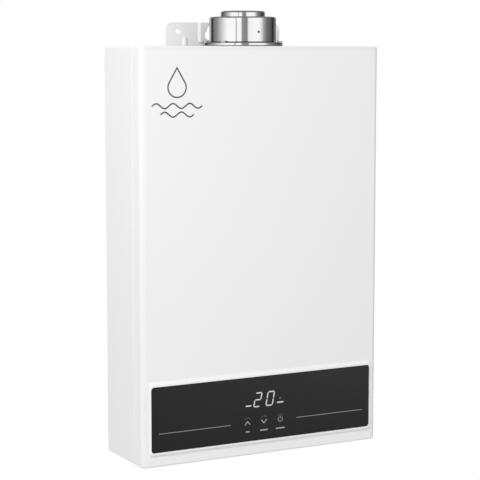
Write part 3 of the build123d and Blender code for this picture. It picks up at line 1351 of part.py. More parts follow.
def main_board():
    x0 = -X_IN + CONTROL_WALL + MAIN_BOARD_GAP
    margin = CONTROL_WALL + BOARD_GAP
    y = (Y_CONTROL_FRONT + BOARD_GAP, Y_CONTROL - margin)
    return block(x0, x0 + BOARD_T, *y, Z_CONTROL + margin, Z_CONTROL + CONTROL_H - margin)


def cable_gland():
    """Rubber grommet in the casing's floor with a bore for the supply cable."""
    flange = GLAND_R + GLAND_FLANGE
    gland = rod_z(GLAND_R, Z_BOTTOM - GLAND_DROP, Z_FLOOR, GLAND_X, Y_GLAND)
    gland += rod_z(flange, Z_BOTTOM - GLAND_FLANGE_T, Z_BOTTOM, GLAND_X, Y_GLAND)
    gland += rod_z(flange, Z_FLOOR, Z_FLOOR + GLAND_FLANGE_T, GLAND_X, Y_GLAND)
    hole = (Z_BOTTOM - GLAND_DROP - PAST, Z_FLOOR + GLAND_FLANGE_T + PAST)
    return gland - rod_z(GLAND_BORE_R, *hole, GLAND_X, Y_GLAND)


PIECES = [
    casing_back,
    casing_left,
    casing_right,
    casing_top,
    casing_bottom,
    casing_screws,
    wall_bracket,
    wall_bumpers,
    flue_gasket,
    flue_collar,
    flue_flange,
    flue_screws,
    flue_spigot,
    fan_housing,
    fan_front_plate,
    motor_can,
    motor_bearings,
    motor_shaft,
    fan_impeller,
    smoke_hood,
    exchanger_shell,
    exchanger_fins,
    exchanger_tube,
    rear_rail,
    burner_box,
    burner_bars,
    gas_manifold,
    gas_nozzles,
    electrode_insulators,
    electrode_rods,
    igniter,
    ignition_lead,
    temperature_sensors,
    gas_inlet_nipple,
    water_inlet_nipple,
    connection_nuts,
    inlet_filter,
    flow_sensor_body,
    flow_rotor,
    cold_pipe,
    hot_pipe,
    gas_valve_body,
    solenoid_coils,
    valve_plunger,
    gas_pipe,
    outlet_block,
    drain_plug,
    drain_seal,
    control_box,
    control_box_lid,
    main_board,
    cable_gland,
    front_cover,
    cover_seal,
    control_panel,
    display_carrier,
    display_board,
    display_screws,
    digit_module,
    touch_springs,
]

os.makedirs("parts", exist_ok=True)
for piece in PIECES:
    export_step(piece(), f"parts/{piece.__name__}.step")
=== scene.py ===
import json
from math import atan2, cos, degrees, pi, radians, sin

import bmesh
import bpy
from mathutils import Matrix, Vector


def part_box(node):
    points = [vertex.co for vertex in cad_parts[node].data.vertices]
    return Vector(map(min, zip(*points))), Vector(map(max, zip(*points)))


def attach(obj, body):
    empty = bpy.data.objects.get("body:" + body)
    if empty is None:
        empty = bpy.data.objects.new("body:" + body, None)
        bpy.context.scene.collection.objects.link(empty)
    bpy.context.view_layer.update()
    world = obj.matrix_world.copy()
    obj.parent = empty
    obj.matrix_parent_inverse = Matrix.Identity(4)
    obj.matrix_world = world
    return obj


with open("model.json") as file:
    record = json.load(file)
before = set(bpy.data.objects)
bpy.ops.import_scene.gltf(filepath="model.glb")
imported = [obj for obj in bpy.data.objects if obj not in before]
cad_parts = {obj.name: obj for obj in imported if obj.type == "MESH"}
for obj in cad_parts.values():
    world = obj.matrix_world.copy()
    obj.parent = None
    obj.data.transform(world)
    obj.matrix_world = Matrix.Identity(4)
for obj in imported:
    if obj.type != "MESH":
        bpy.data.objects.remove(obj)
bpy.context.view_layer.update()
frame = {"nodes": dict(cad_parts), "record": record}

MM = 0.001

# The heater's main planes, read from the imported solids
casing_low, casing_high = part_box("casing_left")
panel_low, panel_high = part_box("control_panel")
collar_low, collar_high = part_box("flue_collar")
PAD_RISE = 2.0 * MM
FLANGE_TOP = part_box("flue_flange")[1].z
CASING_BOTTOM = casing_low.z
CASING_TOP = casing_high.z
CASING_HALF_W = -casing_low.x
PANEL_FACE = panel_low.y
COVER_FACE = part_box("front_cover")[0].y + PAD_RISE
FLUE_Y = (collar_low.y + collar_high.y) / 2

# Values that belong to the finishes alone
# Reach, share and tone of the painted shade on the casing's rounded edges
EDGE_REACH = 7.0 * MM
PAINTED_EDGE_SHADE = 0.14
PAINTED_EDGE_TONE = 0.2
# Height of the painted shadow line at the foot of the flue collar
FOOT_SHADOW_H = 1.2 * MM
THREAD_PITCH = 1.814 * MM
THREAD_DROP = 5.5 * MM
TRACK_PITCH = 2.4 * MM


# Shader sums

class Socket:
    """A shader output that takes part in Python sums."""

    def __init__(self, finish, output):
        self.finish = finish
        self.output = output

    def math(self, operation, a, b=0.0, c=0.0):
        return self.finish.node("ShaderNodeMath", {"operation": operation}, {0: a, 1: b, 2: c})

    def __add__(self, other):
        return self.math("ADD", self, other)

    __radd__ = __add__

    def __sub__(self, other):
        return self.math("SUBTRACT", self, other)

    def __rsub__(self, other):
        return self.math("SUBTRACT", other, self)

    def __mul__(self, other):
        return self.math("MULTIPLY", self, other)

    __rmul__ = __mul__

    def __truediv__(self, other):
        return self.math("DIVIDE", self, other)

    def __pow__(self, other):
        return self.math("POWER", self, other)

    def __mod__(self, other):
        return self.math("FLOORED_MODULO", self, other)

    def __abs__(self):
        return self.math("ABSOLUTE", self)

    def __gt__(self, other):
        return self.math("GREATER_THAN", self, other)

    def __lt__(self, other):
        return self.math("LESS_THAN", self, other)

    def at_most(self, other):
        return self.math("MINIMUM", self, other)

    def at_least(self, other):
        return self.math("MAXIMUM", self, other)


class Finish:
    """A material or world being drawn up from nodes."""

    def __init__(self, holder):
        holder.use_nodes = True
        self.holder = holder
        self.tree = holder.node_tree
        self.tree.nodes.clear()

    def node(self, kind, settings=None, sockets=None, out=0):
        made = self.tree.nodes.new(kind)
        for key, value in (settings or {}).items():
            if key == "stops":
                self.set_stops(made.color_ramp, value)
            else:
                setattr(made, key, value)
        for key, value in (sockets or {}).items():
            if isinstance(value, Socket):
                self.tree.links.new(value.output, made.inputs[key])
            else:
                made.inputs[key].default_value = value
        return Socket(self, made.outputs[out])

    @staticmethod
    def set_stops(ramp, stops):
        while len(ramp.elements) < len(stops):
            ramp.elements.new(0.5)
        for element, (place, grey) in zip(ramp.elements, sorted(stops)):
            element.position = place
            element.color = (grey, grey, grey, 1.0) if isinstance(grey, float) else (*grey, 1.0)

    def place(self):
        """Position on the piece, in metres, in the heater's own frame."""
        return self.node("ShaderNodeTexCoord", out="Object")

    def axes(self):
        split = self.node("ShaderNodeSeparateXYZ", None, {0: self.place()})
        made = split.output.node
        return [Socket(self, made.outputs[i]) for i in range(3)]

    def stretched(self, stretch):
        return self.node("ShaderNodeVectorMath", {"operation": "MULTIPLY"}, {0: self.place(), 1: stretch})

    def noise(self, scale, detail=3.0, stretch=None):
        vector = self.stretched(stretch) if stretch else self.place()
        sockets = {"Vector": vector, "Scale": scale, "Detail": detail}
        return self.node("ShaderNodeTexNoise", None, sockets, "Fac")

    def cells(self, scale):
        return self.node("ShaderNodeTexVoronoi", None, {"Vector": self.place(), "Scale": scale}, "Color")

    def ramp(self, value, stops):
        return self.node("ShaderNodeValToRGB", {"stops": stops}, {0: value})

    def blend(self, share, a, b):
        a, b = [value if isinstance(value, Socket) else (*value, 1.0) for value in (a, b)]
        return self.node("ShaderNodeMix", {"data_type": "RGBA"}, {0: share, 6: a, 7: b}, 2)

    def bump(self, height, strength, distance, under=None):
        sockets = {"Height": height, "Strength": strength, "Distance": distance}
        if under:
            sockets["Normal"] = under
        return self.node("ShaderNodeBump", None, sockets)

    def surface(self, shader):
        of_material = isinstance(self.holder, bpy.types.Material)
        made = self.tree.nodes.new("ShaderNodeOutputMaterial" if of_material else "ShaderNodeOutputWorld")
        self.tree.links.new(shader.output, made.inputs[0])
        return self.holder

    def ray(self, *kinds):
        """One where a ray is of any of these kinds, and nought elsewhere."""
        shares = [self.node("ShaderNodeLightPath", out=f"Is {kind} Ray") for kind in kinds]
        return sum(shares[1:], shares[0]).at_most(1.0)

    def principled(self, **sockets):
        named = {key.replace("_", " "): value for key, value in sockets.items()}
        return self.surface(self.node("ShaderNodeBsdfPrincipled", None, named))


def new_finish(name):
    return Finish(bpy.data.materials.new(name))


def grey(level):
    return (level, level, level)


# Finishes

def white_powder_coat(name, bright, dim, rough):
    """White coat with a fine orange peel, and painted shade on the rounded edges where the front turns to
    the sides and the top.
    """
    f = new_finish(name)
    x, y, z = f.axes()
    drift = f.noise(6.0, 2.0)
    peel = f.noise(900.0, 2.0)
    to_front = (y - COVER_FACE) ** 2.0
    to_side = ((CASING_HALF_W - abs(x)) ** 2.0 + to_front) ** 0.5
    to_top = ((CASING_TOP - z) ** 2.0 + to_front) ** 0.5
    # Painted shade, strongest at the middle of each rounded edge, dims the lamp's highlight there
    painted_edge_shade = (1.0 - to_side.at_most(to_top) / EDGE_REACH).at_least(0.0) * PAINTED_EDGE_SHADE
    return f.principled(
        Base_Color=f.blend(painted_edge_shade, f.blend(drift, dim, bright), grey(PAINTED_EDGE_TONE)),
        Roughness=rough + 0.08 * f.noise(40.0, 3.0),
        Normal=f.bump(peel, 0.05, 0.0002),
    )


def panel_black():
    """Black gloss sheet with a painted sheen that makes it a little paler towards its upper right corner,
    plus a little random tone.
    """
    f = new_finish("panel_black_gloss")
    x, y, z = f.axes()
    right = (x - panel_low.x) / (panel_high.x - panel_low.x)
    up = (z - panel_low.z) / (panel_high.z - panel_low.z)
    # Painted sheen: paler up and to the right, as if lit from there, with a little random tone
    painted_sheen = up * 0.32 + right * 0.25 + up * right * 0.35 + f.noise(14.0, 4.0) * 0.08
    return f.principled(
        Base_Color=f.blend(painted_sheen, (0.0125, 0.0125, 0.0127), (0.0295, 0.0295, 0.0298)),
        Roughness=0.09 + 0.07 * f.noise(55.0, 5.0),
        Specular_IOR_Level=0.12,
    )


def bright_stainless(name, shadow_height=0.0):
    """Polished sheet with fine lines round the flue, and a painted shadow line this far up from the
    flange's top, where the collar stands on the flange.
    """
    f = new_finish(name)
    z = f.axes()[2]
    # Painted shadow: a dark band just above the flange's top, where the collar meets it
    foot_shadow = (z > FLANGE_TOP) * (z < FLANGE_TOP + shadow_height)
    lines = f.noise(1.0, 3.0, (25.0, 25.0, 2600.0))
    sheet = f.blend(f.noise(30.0, 3.0), (0.86, 0.86, 0.865), (0.93, 0.93, 0.935))
    return f.principled(
        Base_Color=f.blend(foot_shadow, sheet, (0.03, 0.03, 0.032)),
        Metallic=1.0,
        Roughness=0.07 + 0.07 * lines,
        Normal=f.bump(lines, 0.04, 0.0001),
    )


def zinc_plate():
    f = new_finish("zinc_plate")
    cloud = f.noise(260.0, 4.0)
    return f.principled(
        Base_Color=f.blend(cloud, (0.58, 0.585, 0.6), (0.78, 0.78, 0.77)),
        Metallic=1.0,
        Roughness=0.2 + 0.16 * cloud,
        Normal=f.bump(f.noise(1500.0, 2.0), 0.1, 0.0001),
    )


def galvanized_sheet():
    f = new_finish("galvanized_sheet")
    spangle = f.cells(110.0)
    tone = f.node("ShaderNodeSeparateColor", None, {0: spangle})
    return f.principled(
        Base_Color=f.blend(tone, (0.45, 0.465, 0.48), (0.66, 0.675, 0.69)),
        Metallic=1.0,
        Roughness=0.3 + 0.2 * tone,
        Normal=f.bump(f.noise(350.0, 3.0), 0.08, 0.0002),
    )


def plain_steel():
    f = new_finish("plain_steel")
    mill = f.noise(1.0, 4.0, (60.0, 60.0, 900.0))
    return f.principled(
        Base_Color=f.blend(mill, (0.36, 0.36, 0.37), (0.56, 0.56, 0.57)),
        Metallic=1.0,
        Roughness=0.28 + 0.2 * mill,
        Normal=f.bump(mill, 0.06, 0.0001),
    )


def bare_copper():
    f = new_finish("bare_copper")
    tarnish = f.noise(38.0, 5.0)
    handled = f.noise(9.0, 2.0)
    bright = f.blend(tarnish, (0.80, 0.43, 0.28), (0.60, 0.27, 0.16))
    return f.principled(
        Base_Color=f.blend(f.ramp(handled, [(0.45, 0.0), (0.75, 0.6)]), bright, (0.42, 0.19, 0.12)),
        Metallic=1.0,
        Roughness=0.22 + 0.25 * tarnish,
        Normal=f.bump(f.noise(500.0, 2.0), 0.05, 0.0001),
    )


def turned_brass():
    """Brass with tool lines, and a pipe thread of 14 turns to the inch below the casing."""
    f = new_finish("turned_brass")
    z = f.axes()[2]
    lathe = f.noise(1.0, 2.0, (20.0, 20.0, 2600.0))
    turn = (z / THREAD_PITCH) % 1.0
    ridge = 1.0 - abs(turn * 2.0 - 1.0)
    outside = z < CASING_BOTTOM - THREAD_DROP
    cloud = f.noise(120.0, 3.0)
    lines = f.bump(lathe, 0.05, 0.0001)
    return f.principled(
        Base_Color=f.blend(cloud, (0.64, 0.46, 0.19), (0.83, 0.66, 0.34)),
        Metallic=1.0,
        Roughness=0.2 + 0.2 * cloud,
        Normal=f.bump(ridge * outside, 0.9, 0.0009, lines),
    )


def cast_aluminium():
    f = new_finish("cast_aluminium")
    grain = f.noise(420.0, 4.0)
    return f.principled(
        Base_Color=f.blend(grain, (0.5, 0.505, 0.51), (0.68, 0.685, 0.69)),
        Metallic=0.9,
        Roughness=0.45 + 0.2 * grain,
        Normal=f.bump(grain, 0.3, 0.0003),
    )


def soft_rubber():
    f = new_finish("black_rubber")
    grain = f.noise(600.0, 4.0)
    bloom = f.noise(25.0, 4.0)
    return f.principled(
        Base_Color=f.blend(bloom, grey(0.018), (0.045, 0.045, 0.046)),
        Roughness=0.6 + 0.2 * grain,
        Normal=f.bump(grain, 0.2, 0.0002),
    )


def fibre_gasket():
    f = new_finish("fibre_gasket")
    strands = f.noise(1.0, 5.0, (700.0, 2200.0, 900.0))
    return f.principled(
        Base_Color=f.blend(strands, (0.12, 0.12, 0.122), (0.3, 0.3, 0.295)),
        Roughness=0.8 + 0.15 * strands,
        Normal=f.bump(strands, 0.4, 0.0002),
    )


def white_ceramic():
    f = new_finish("white_ceramic")
    body = f.noise(200.0, 4.0)
    return f.principled(
        Base_Color=f.blend(body, (0.74, 0.71, 0.64), (0.86, 0.84, 0.79)),
        Roughness=0.18 + 0.15 * body,
        Coat_Weight=0.4,
    )


def moulded_plastic(name, dark, light, rough):
    f = new_finish(name)
    grain = f.noise(800.0, 3.0)
    flow = f.noise(12.0, 3.0)
    return f.principled(
        Base_Color=f.blend(flow, dark, light),
        Roughness=rough + 0.12 * grain,
        Normal=f.bump(grain, 0.12, 0.0002),
    )


def circuit_board():
    """Green lacquer over copper tracks, with rows of bright pads."""
    f = new_finish("circuit_board")
    x, y, z = f.axes()
    across = (x + y) / TRACK_PITCH
    up = z / TRACK_PITCH
    wander = f.noise(70.0, 1.0)
    track = abs((across + wander * 6.0) % 1.0 - 0.5) < 0.16
    radius = ((across % 4.0 - 2.0) ** 2.0 + (up % 3.0 - 1.5) ** 2.0) ** 0.5
    pad = radius < 0.34
    lacquer = f.blend(track, (0.012, 0.11, 0.05), (0.03, 0.2, 0.09))
    return f.principled(
        Base_Color=f.blend(pad, lacquer, (0.72, 0.7, 0.66)),
        Metallic=pad * 0.9,
        Roughness=0.3 + 0.1 * f.noise(300.0, 2.0),
        Normal=f.bump(track + pad, 0.3, 0.0001),
    )


def silicone_sleeve():
    f = new_finish("red_silicone_sleeve")
    grain = f.noise(700.0, 3.0)
    return f.principled(
        Base_Color=f.blend(grain, (0.42, 0.06, 0.04), (0.6, 0.12, 0.08)),
        Roughness=0.42 + 0.15 * grain,
        Normal=f.bump(grain, 0.1, 0.0001),
    )


def lit_segment(name, colour):
    """Light of the display seen through the glass, a little uneven along each bar."""
    f = new_finish(name)
    patch = f.noise(180.0, 2.0)
    deep = tuple(part * 0.8 for part in colour)
    return f.principled(
        Base_Color=(*grey(0.02), 1.0),
        Roughness=0.15,
        Emission_Color=f.blend(patch, deep, colour),
        Emission_Strength=1.0,
    )


def printed_ink(name, dark, light):
    f = new_finish(name)
    coat = f.noise(400.0, 3.0)
    return f.principled(Base_Color=f.blend(coat, grey(dark), grey(light)), Roughness=0.35 + 0.1 * coat)


FINISHES = {
    "panel_glass": panel_black(),
    "stainless": bright_stainless("bright_stainless"),
    "zinc_screw": zinc_plate(),
    "galvanized": galvanized_sheet(),
    "steel": plain_steel(),
    "copper": bare_copper(),
    "brass": turned_brass(),
    "cast_aluminium": cast_aluminium(),
    "rubber": soft_rubber(),
    "fibre_gasket": fibre_gasket(),
    "ceramic": white_ceramic(),
    "black_plastic": moulded_plastic(
        "black_plastic", dark=(0.022, 0.022, 0.024), light=(0.04, 0.04, 0.042), rough=0.45
    ),
    "white_plastic": moulded_plastic(
        "white_plastic", dark=(0.7, 0.7, 0.67), light=(0.79, 0.79, 0.77), rough=0.42
    ),
    "circuit_board": circuit_board(),
    "lead_sleeve": silicone_sleeve(),
    "white_paint": white_powder_coat(
        "white_powder_coat", bright=(0.875, 0.875, 0.873), dim=(0.855, 0.855, 0.853), rough=0.3
    ),
}
OWN_FINISHES = {
    "wall_bracket": white_powder_coat(
        "bracket_powder_coat", bright=(0.78, 0.78, 0.782), dim=(0.74, 0.74, 0.742), rough=0.42
    ),
    # The collar carries the painted shadow line at its foot
    "flue_collar": bright_stainless("collar_stainless", FOOT_SHADOW_H),
}

for subpart in frame["record"]["subparts"]:
    solid = frame["nodes"][subpart["node"]]
    solid.data.materials.clear()
    solid.data.materials.append(OWN_FINISHES.get(subpart["node"], FINISHES[subpart["material_slot"]]))
# The collar mirrors the room's dark edge, not the pale bracket close behind it
frame["nodes"]["wall_bracket"].visible_glossy = False


# Prints and lights on the front, drawn flat in millimetres: x from the middle, z from the casing's bottom

PRINT_T = 0.06 * MM
SHARPEST_MITRE = 0.4


def ribbon(points, width, closed=False):
    """Four-cornered fields that follow a line of points, mitred at each point."""
    points = [Vector(point) for point in points]
    count = len(points)
    sides = []
    for i, point in enumerate(points):
        runs = []
        if closed or i:
            runs.append((point - points[i - 1]).normalized())
        if closed or i < count - 1:
            runs.append((points[(i + 1) % count] - point).normalized())
        along = sum(runs, Vector((0.0, 0.0))).normalized()
        across = Vector((-along.y, along.x))
        stretch = 1.0 / max(across.dot(Vector((-runs[0].y, runs[0].x))), SHARPEST_MITRE)
        offset = across * (width / 2 * stretch)
        sides.append((point + offset, point - offset))
    last = count if closed else count - 1
    pairs = [(sides[i], sides[(i + 1) % count]) for i in range(last)]
    return [[a[0], a[1], b[1], b[0]] for a, b in pairs]


def arc(centre, radius, start, end, steps=20):
    turns = [radians(start + (end - start) * i / steps) for i in range(steps + 1)]
    return [(centre[0] + radius * cos(a), centre[1] + radius * sin(a)) for a in turns]


def print_piece(name, fields, face, material):
    """Flat fields as a thin film on a face that looks along -Y."""
    mesh = bpy.data.meshes.new(name)
    bm = bmesh.new()
    for field in fields:
        corners = [(x * MM, CASING_BOTTOM + z * MM) for x, z in field]
        front = [bm.verts.new((x, face - PRINT_T, z)) for x, z in corners]
        back = [bm.verts.new((x, face, z)) for x, z in corners]
        bm.faces.new(front)
        bm.faces.new(list(reversed(back)))
        for i in range(len(field)):
            j = (i + 1) % len(field)
            bm.faces.new((front[i], back[i], back[j], front[j]))
    bmesh.ops.recalc_face_normals(bm, faces=bm.faces)
    bm.to_mesh(mesh)
    bm.free()
    piece = bpy.data.objects.new(name, mesh)
    bpy.context.scene.collection.objects.link(piece)
    mesh.materials.append(material)
    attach(piece, "cover")


SEGMENTS = {
    "top": ((0, 1), (1, 1)),
    "upper_left": ((0, 0.5), (0, 1)),
    "upper_right": ((1, 0.5), (1, 1)),
    "middle": ((0, 0.5), (1, 0.5)),
    "lower_left": ((0, 0), (0, 0.5)),
    "lower_right": ((1, 0), (1, 0.5)),
    "low": ((0, 0), (1, 0)),
}
TWO = ("top", "upper_right", "middle", "lower_left", "low")
NOUGHT = ("top", "upper_left", "upper_right", "lower_left", "lower_right", "low")
SEGMENT_GAP = 0.18
DIGITS = [(-15.8, 9.2, TWO), (3.0, 9.8, NOUGHT)]
DIGIT_LOW = 66.2
DIGIT_H = 18.6
DIGIT_LEAN = 0.19
DIGIT_STROKE = 1.75


def digit(left, width, lit):
    """Leaning bars with pointed ends."""
    fields = []
    for name in lit:
        (x0, z0), (x1, z1) = SEGMENTS[name]
        start = Vector((left + x0 * width, DIGIT_LOW + z0 * DIGIT_H))
        end = Vector((left + x1 * width, DIGIT_LOW + z1 * DIGIT_H))
        along = (end - start).normalized()
        across = Vector((-along.y, along.x)) * DIGIT_STROKE / 2
        a = start + along * DIGIT_STROKE * SEGMENT_GAP
        b = end - along * DIGIT_STROKE * SEGMENT_GAP
        tip = along * DIGIT_STROKE / 2
        outline = [a, a + tip + across, b - tip + across, b, b - tip - across, a + tip - across]
        fields.append([(p.x + DIGIT_LEAN * (p.y - DIGIT_LOW), p.y) for p in outline])
    return fields


def bar(x0, x1, z, height):
    return [(x0, z - height / 2), (x1, z - height / 2), (x1, z + height / 2), (x0, z + height / 2)]


def disc(x, z, radius, count=16):
    return arc((x, z), radius, 0, 360 * (count - 1) / count, count - 1)


def chevron(x, z, half, rise, stroke):
    return ribbon([(x - half, z - rise), (x, z + rise), (x + half, z - rise)], stroke)


lit_white = lit_segment("lit_white_bars", (0.62, 0.63, 0.62))
lit_red = lit_segment("lit_red_point", (0.27, 0.05, 0.075))
ink_grey = printed_ink("grey_panel_ink", 0.2, 0.26)
ink_pale = printed_ink("pale_panel_ink", 0.34, 0.42)
ink_faint = printed_ink("faint_panel_ink", 0.045, 0.06)
ink_line = printed_ink("front_line_ink", 0.065, 0.09)


def panel_print(name, fields, material):
    print_piece(name, fields, PANEL_FACE, material)


BARS = [(-28.0, -19.6, 68.2), (20.2, 30.0, 68.8)]
BAR_H = 1.8
POWER_LIGHT = (25.0, 74.6, 1.3)
digits = [field for left, width, lit in DIGITS for field in digit(left, width, lit)]
panel_print("display_digits", digits, lit_white)
panel_print("display_bars", [bar(x0, x1, z, BAR_H) for x0, x1, z in BARS], lit_white)
panel_print("power_light", [disc(*POWER_LIGHT)], lit_red)

KEY_Z = 44.7
UP_X, DOWN_X, POWER_X = -25.2, 0.0, 25.5
KEY_STROKE = 1.2
ARROW_HALF = 4.1
UP_RISE = 2.3
DOWN_RISE = -2.4
DOWN_LIFT = 0.2
POWER_LIFT = 0.6
POWER_R = 3.3
POWER_TURN = (125, 415)
STEM_LOW, STEM_HIGH = 1.3, 5.2
HALO_LIFT = 2.0
HALO_R = 5.4
HALO_TURN = (35, 145)
HALO_STROKE = 1.1
LABEL_Z = 32.9
LABEL_H = 1.7
LABELS = [(UP_X, 5.6), (DOWN_X, 11.5), (POWER_X, 13.5)]
up_arrow = chevron(UP_X, KEY_Z, ARROW_HALF, UP_RISE, KEY_STROKE)
down_arrow = chevron(DOWN_X, KEY_Z + DOWN_LIFT, ARROW_HALF, DOWN_RISE, KEY_STROKE)
panel_print("key_arrows", up_arrow + down_arrow, ink_pale)
ring = ribbon(arc((POWER_X, KEY_Z + POWER_LIFT), POWER_R, *POWER_TURN), KEY_STROKE)
stem = ribbon([(POWER_X, KEY_Z + STEM_LOW), (POWER_X, KEY_Z + STEM_HIGH)], KEY_STROKE)
panel_print("power_symbol", ring + stem, ink_grey)
bows = [arc((x, KEY_Z + HALO_LIFT), HALO_R, *HALO_TURN, steps=12) for x in (UP_X, DOWN_X, POWER_X)]
panel_print("key_halos", [field for bow in bows for field in ribbon(bow, HALO_STROKE)], ink_faint)
panel_print("key_labels", [bar(x - w / 2, x + w / 2, LABEL_Z, LABEL_H) for x, w in LABELS], ink_pale)

RULE_Z = 44.6
RULE_H = 1.0
RULE_NEAR, RULE_FAR = 51.0, 157.3
rules = [bar(RULE_NEAR, RULE_FAR, RULE_Z, RULE_H), bar(-RULE_FAR, -RULE_NEAR, RULE_Z, RULE_H)]
panel_print("panel_rules", rules, ink_grey)


# Line motif near the upper left corner: a drop over two waves

COVER_H = (CASING_TOP - CASING_BOTTOM) / MM
MOTIF_X = -128.0
MOTIF_STROKE = 1.9
DROP_LOW = COVER_H - 66.0
DROP_R = 13.0
DROP_H = 38.0
DROP_LIFT = 0.34
WAVES = [(36.0, COVER_H - 77.0), (24.0, COVER_H - 88.0)]
WAVE_SWING = 3.2
WAVE_L = 24.0


def wave(x0, x1, z, steps=48):
    span = [x0 + (x1 - x0) * i / steps for i in range(steps + 1)]
    return [(x, z + WAVE_SWING * sin(2 * pi * (x - x0) / WAVE_L)) for x in span]


def drop():
    """Round below, drawn to a point above."""
    lift = degrees(atan2(DROP_H - DROP_R, DROP_R)) * DROP_LIFT
    centre = (MOTIF_X, DROP_LOW + DROP_R)
    return [(MOTIF_X, DROP_LOW + DROP_H)] + arc(centre, DROP_R, 180 - lift, 360 + lift, 28)


motif = ribbon(drop(), MOTIF_STROKE, closed=True)
for half, z in WAVES:
    motif += ribbon(wave(MOTIF_X - half, MOTIF_X + half, z), MOTIF_STROKE)
print_piece("front_line_motif", motif, COVER_FACE, ink_line)


# Stage: a floor, a round room that only reflections see, the sky's light, two lamps and the camera

FLOOR_Z = CASING_BOTTOM - 1.6
CENTRE_R = 0.001
FLOOR_RINGS = (CENTRE_R, 0.5, 1.2, 40.0)
FLOOR_GREY = 0.6
FLOOR_PLAIN = 0.45
FLOOR_FADE = 0.7
ROOM_R = 4.0
ROOM_LOW = FLOOR_Z + 0.05
ROOM_HIGH = 2.2
ROOM_LID = 0.2
CAMERA_AT = Vector((-1.0273, -1.9719, -0.0328))
CAMERA_YAW = -28.116
CAMERA_DIP = 6.6
CAMERA_LENS = 119.5
CAMERA_FILM = 36.0
CAMERA_REACH = 100.0
SKY = [(0.0, 0.6), (0.5, 1.12), (1.0, 0.79)]
LAMP_AIM = Vector((0.0, -0.06, -0.29))
# Degrees round the flue from the camera's side, and how bright the room is there
ROOM_BANDS = [
    (-180, 0.3), (-150, 0.45), (-143, 0.5), (-139, 0.03), (-126, 0.03), (-121, 0.16), (-99, 0.28),
    (-82, 0.55), (-67, 0.82), (-53, 1.05), (-25, 1.05), (-23, 0.4), (-21, 0.4), (-19, 1.05), (-5, 1.05),
    (-3, 0.3), (16, 0.22), (19, 0.95), (50, 1.05), (64, 0.95), (78, 0.34), (92, 0.16), (106, 0.12),
    (123, 0.05), (126, 0.01), (132, 0.01), (137, 0.12), (160, 0.2), (180, 0.3),
]


def stage_mesh(name, rings, material):
    mesh = bpy.data.meshes.new(name)
    count = len(rings[0])
    verts = [point for ring in rings for point in ring]
    faces = []
    for r in range(len(rings) - 1):
        for i in range(count):
            j = (i + 1) % count
            faces.append((r * count + i, r * count + j, (r + 1) * count + j, (r + 1) * count + i))
    mesh.from_pydata(verts, [], faces)
    mesh.materials.append(material)
    piece = bpy.data.objects.new(name, mesh)
    bpy.context.scene.collection.objects.link(piece)
    return piece


def circle(radius, z, count=96):
    turns = [2 * pi * i / count for i in range(count)]
    return [(radius * cos(turn), radius * sin(turn), z) for turn in turns]


def floor_finish():
    """White floor that shades off into plain white a little way from the heater."""
    f = new_finish("studio_floor")
    x, y, z = f.axes()
    far = ((x ** 2.0 + y ** 2.0) ** 0.5 - FLOOR_PLAIN) / FLOOR_FADE
    far = far.at_most(1.0).at_least(0.0)
    share = f.ray("Camera", "Transmission") * far
    matt = f.node("ShaderNodeBsdfDiffuse", None, {"Color": (*grey(FLOOR_GREY), 1.0)})
    white = f.node("ShaderNodeEmission", None, {"Color": (*grey(1.0), 1.0), "Strength": 1.0})
    return f.surface(f.node("ShaderNodeMixShader", None, {0: share, 1: matt, 2: white}))


def room_finish():
    """Upright bands of light and dark, for the metal and the glass to mirror."""
    f = new_finish("reflected_room")
    x, y, z = f.axes()
    turn = y.math("ARCTAN2", y, x) / (2 * pi) + 0.5
    stops = [(place / 360 + 0.5, float(level)) for place, level in ROOM_BANDS]
    bands = f.blend(z > ROOM_HIGH - 0.01, f.ramp(turn, stops), grey(ROOM_LID))
    return f.surface(f.node("ShaderNodeEmission", None, {"Color": bands, "Strength": 1.0}))


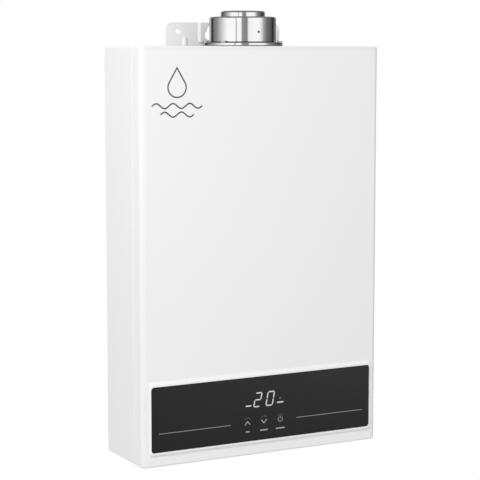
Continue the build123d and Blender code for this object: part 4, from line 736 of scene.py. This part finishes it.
floor = stage_mesh("studio_floor", [circle(r, 0.0) for r in FLOOR_RINGS], floor_finish())
floor.location = (0.0, FLUE_Y, FLOOR_Z)
room_rings = [circle(ROOM_R, z) for z in (ROOM_LOW, 0.0, ROOM_HIGH)] + [circle(CENTRE_R, ROOM_HIGH)]
room = stage_mesh("reflected_room", room_rings, room_finish())
room.location = (0.0, FLUE_Y, 0.0)
room.rotation_euler = (0.0, 0.0, atan2(CAMERA_AT.y - FLUE_Y, CAMERA_AT.x))
for kind in ("camera", "diffuse", "transmission", "volume_scatter", "shadow"):
    setattr(room, f"visible_{kind}", False)


def studio_world():
    """Soft light from all round, strongest from the sides, which looks plain white itself."""
    world = bpy.data.worlds.new("studio_light")
    bpy.context.scene.world = world
    f = Finish(world)
    direction = f.node("ShaderNodeTexCoord", out="Generated")
    height = f.node("ShaderNodeSeparateXYZ", None, {0: direction}, out=2)
    sky = f.ramp(height * 0.5 + 0.5, SKY)
    plain = f.ray("Camera", "Glossy", "Transmission")
    light = f.node("ShaderNodeBackground", None, {"Color": sky, "Strength": 1.0})
    white = f.node("ShaderNodeBackground", None, {"Color": (*grey(1.0), 1.0), "Strength": 1.0})
    f.surface(f.node("ShaderNodeMixShader", None, {0: plain, 1: light, 2: white}))


studio_world()


def lamp(name, place, size, watts):
    light = bpy.data.lights.new(name, "AREA")
    light.shape = "DISK"
    light.size = size
    light.energy = watts
    piece = bpy.data.objects.new(name, light)
    bpy.context.scene.collection.objects.link(piece)
    piece.location = place
    piece.rotation_euler = (LAMP_AIM - Vector(place)).to_track_quat("-Z", "Y").to_euler()
    piece.visible_camera = False
    piece.visible_glossy = False


lamp("key_lamp", place=(-1.15, -0.82, 0.52), size=0.6, watts=9.6)
lamp("back_lamp", place=(2.2, 1.3, 1.3), size=1.6, watts=14.0)

eye = bpy.data.cameras.new("photo_camera")
eye.lens = CAMERA_LENS
eye.sensor_width = CAMERA_FILM
eye.clip_end = CAMERA_REACH
camera = bpy.data.objects.new("photo_camera", eye)
bpy.context.scene.collection.objects.link(camera)
camera.location = CAMERA_AT
camera.rotation_euler = (radians(90.0 - CAMERA_DIP), 0.0, radians(CAMERA_YAW))
bpy.context.scene.camera = camera
bpy.context.scene.view_settings.view_transform = "Standard"
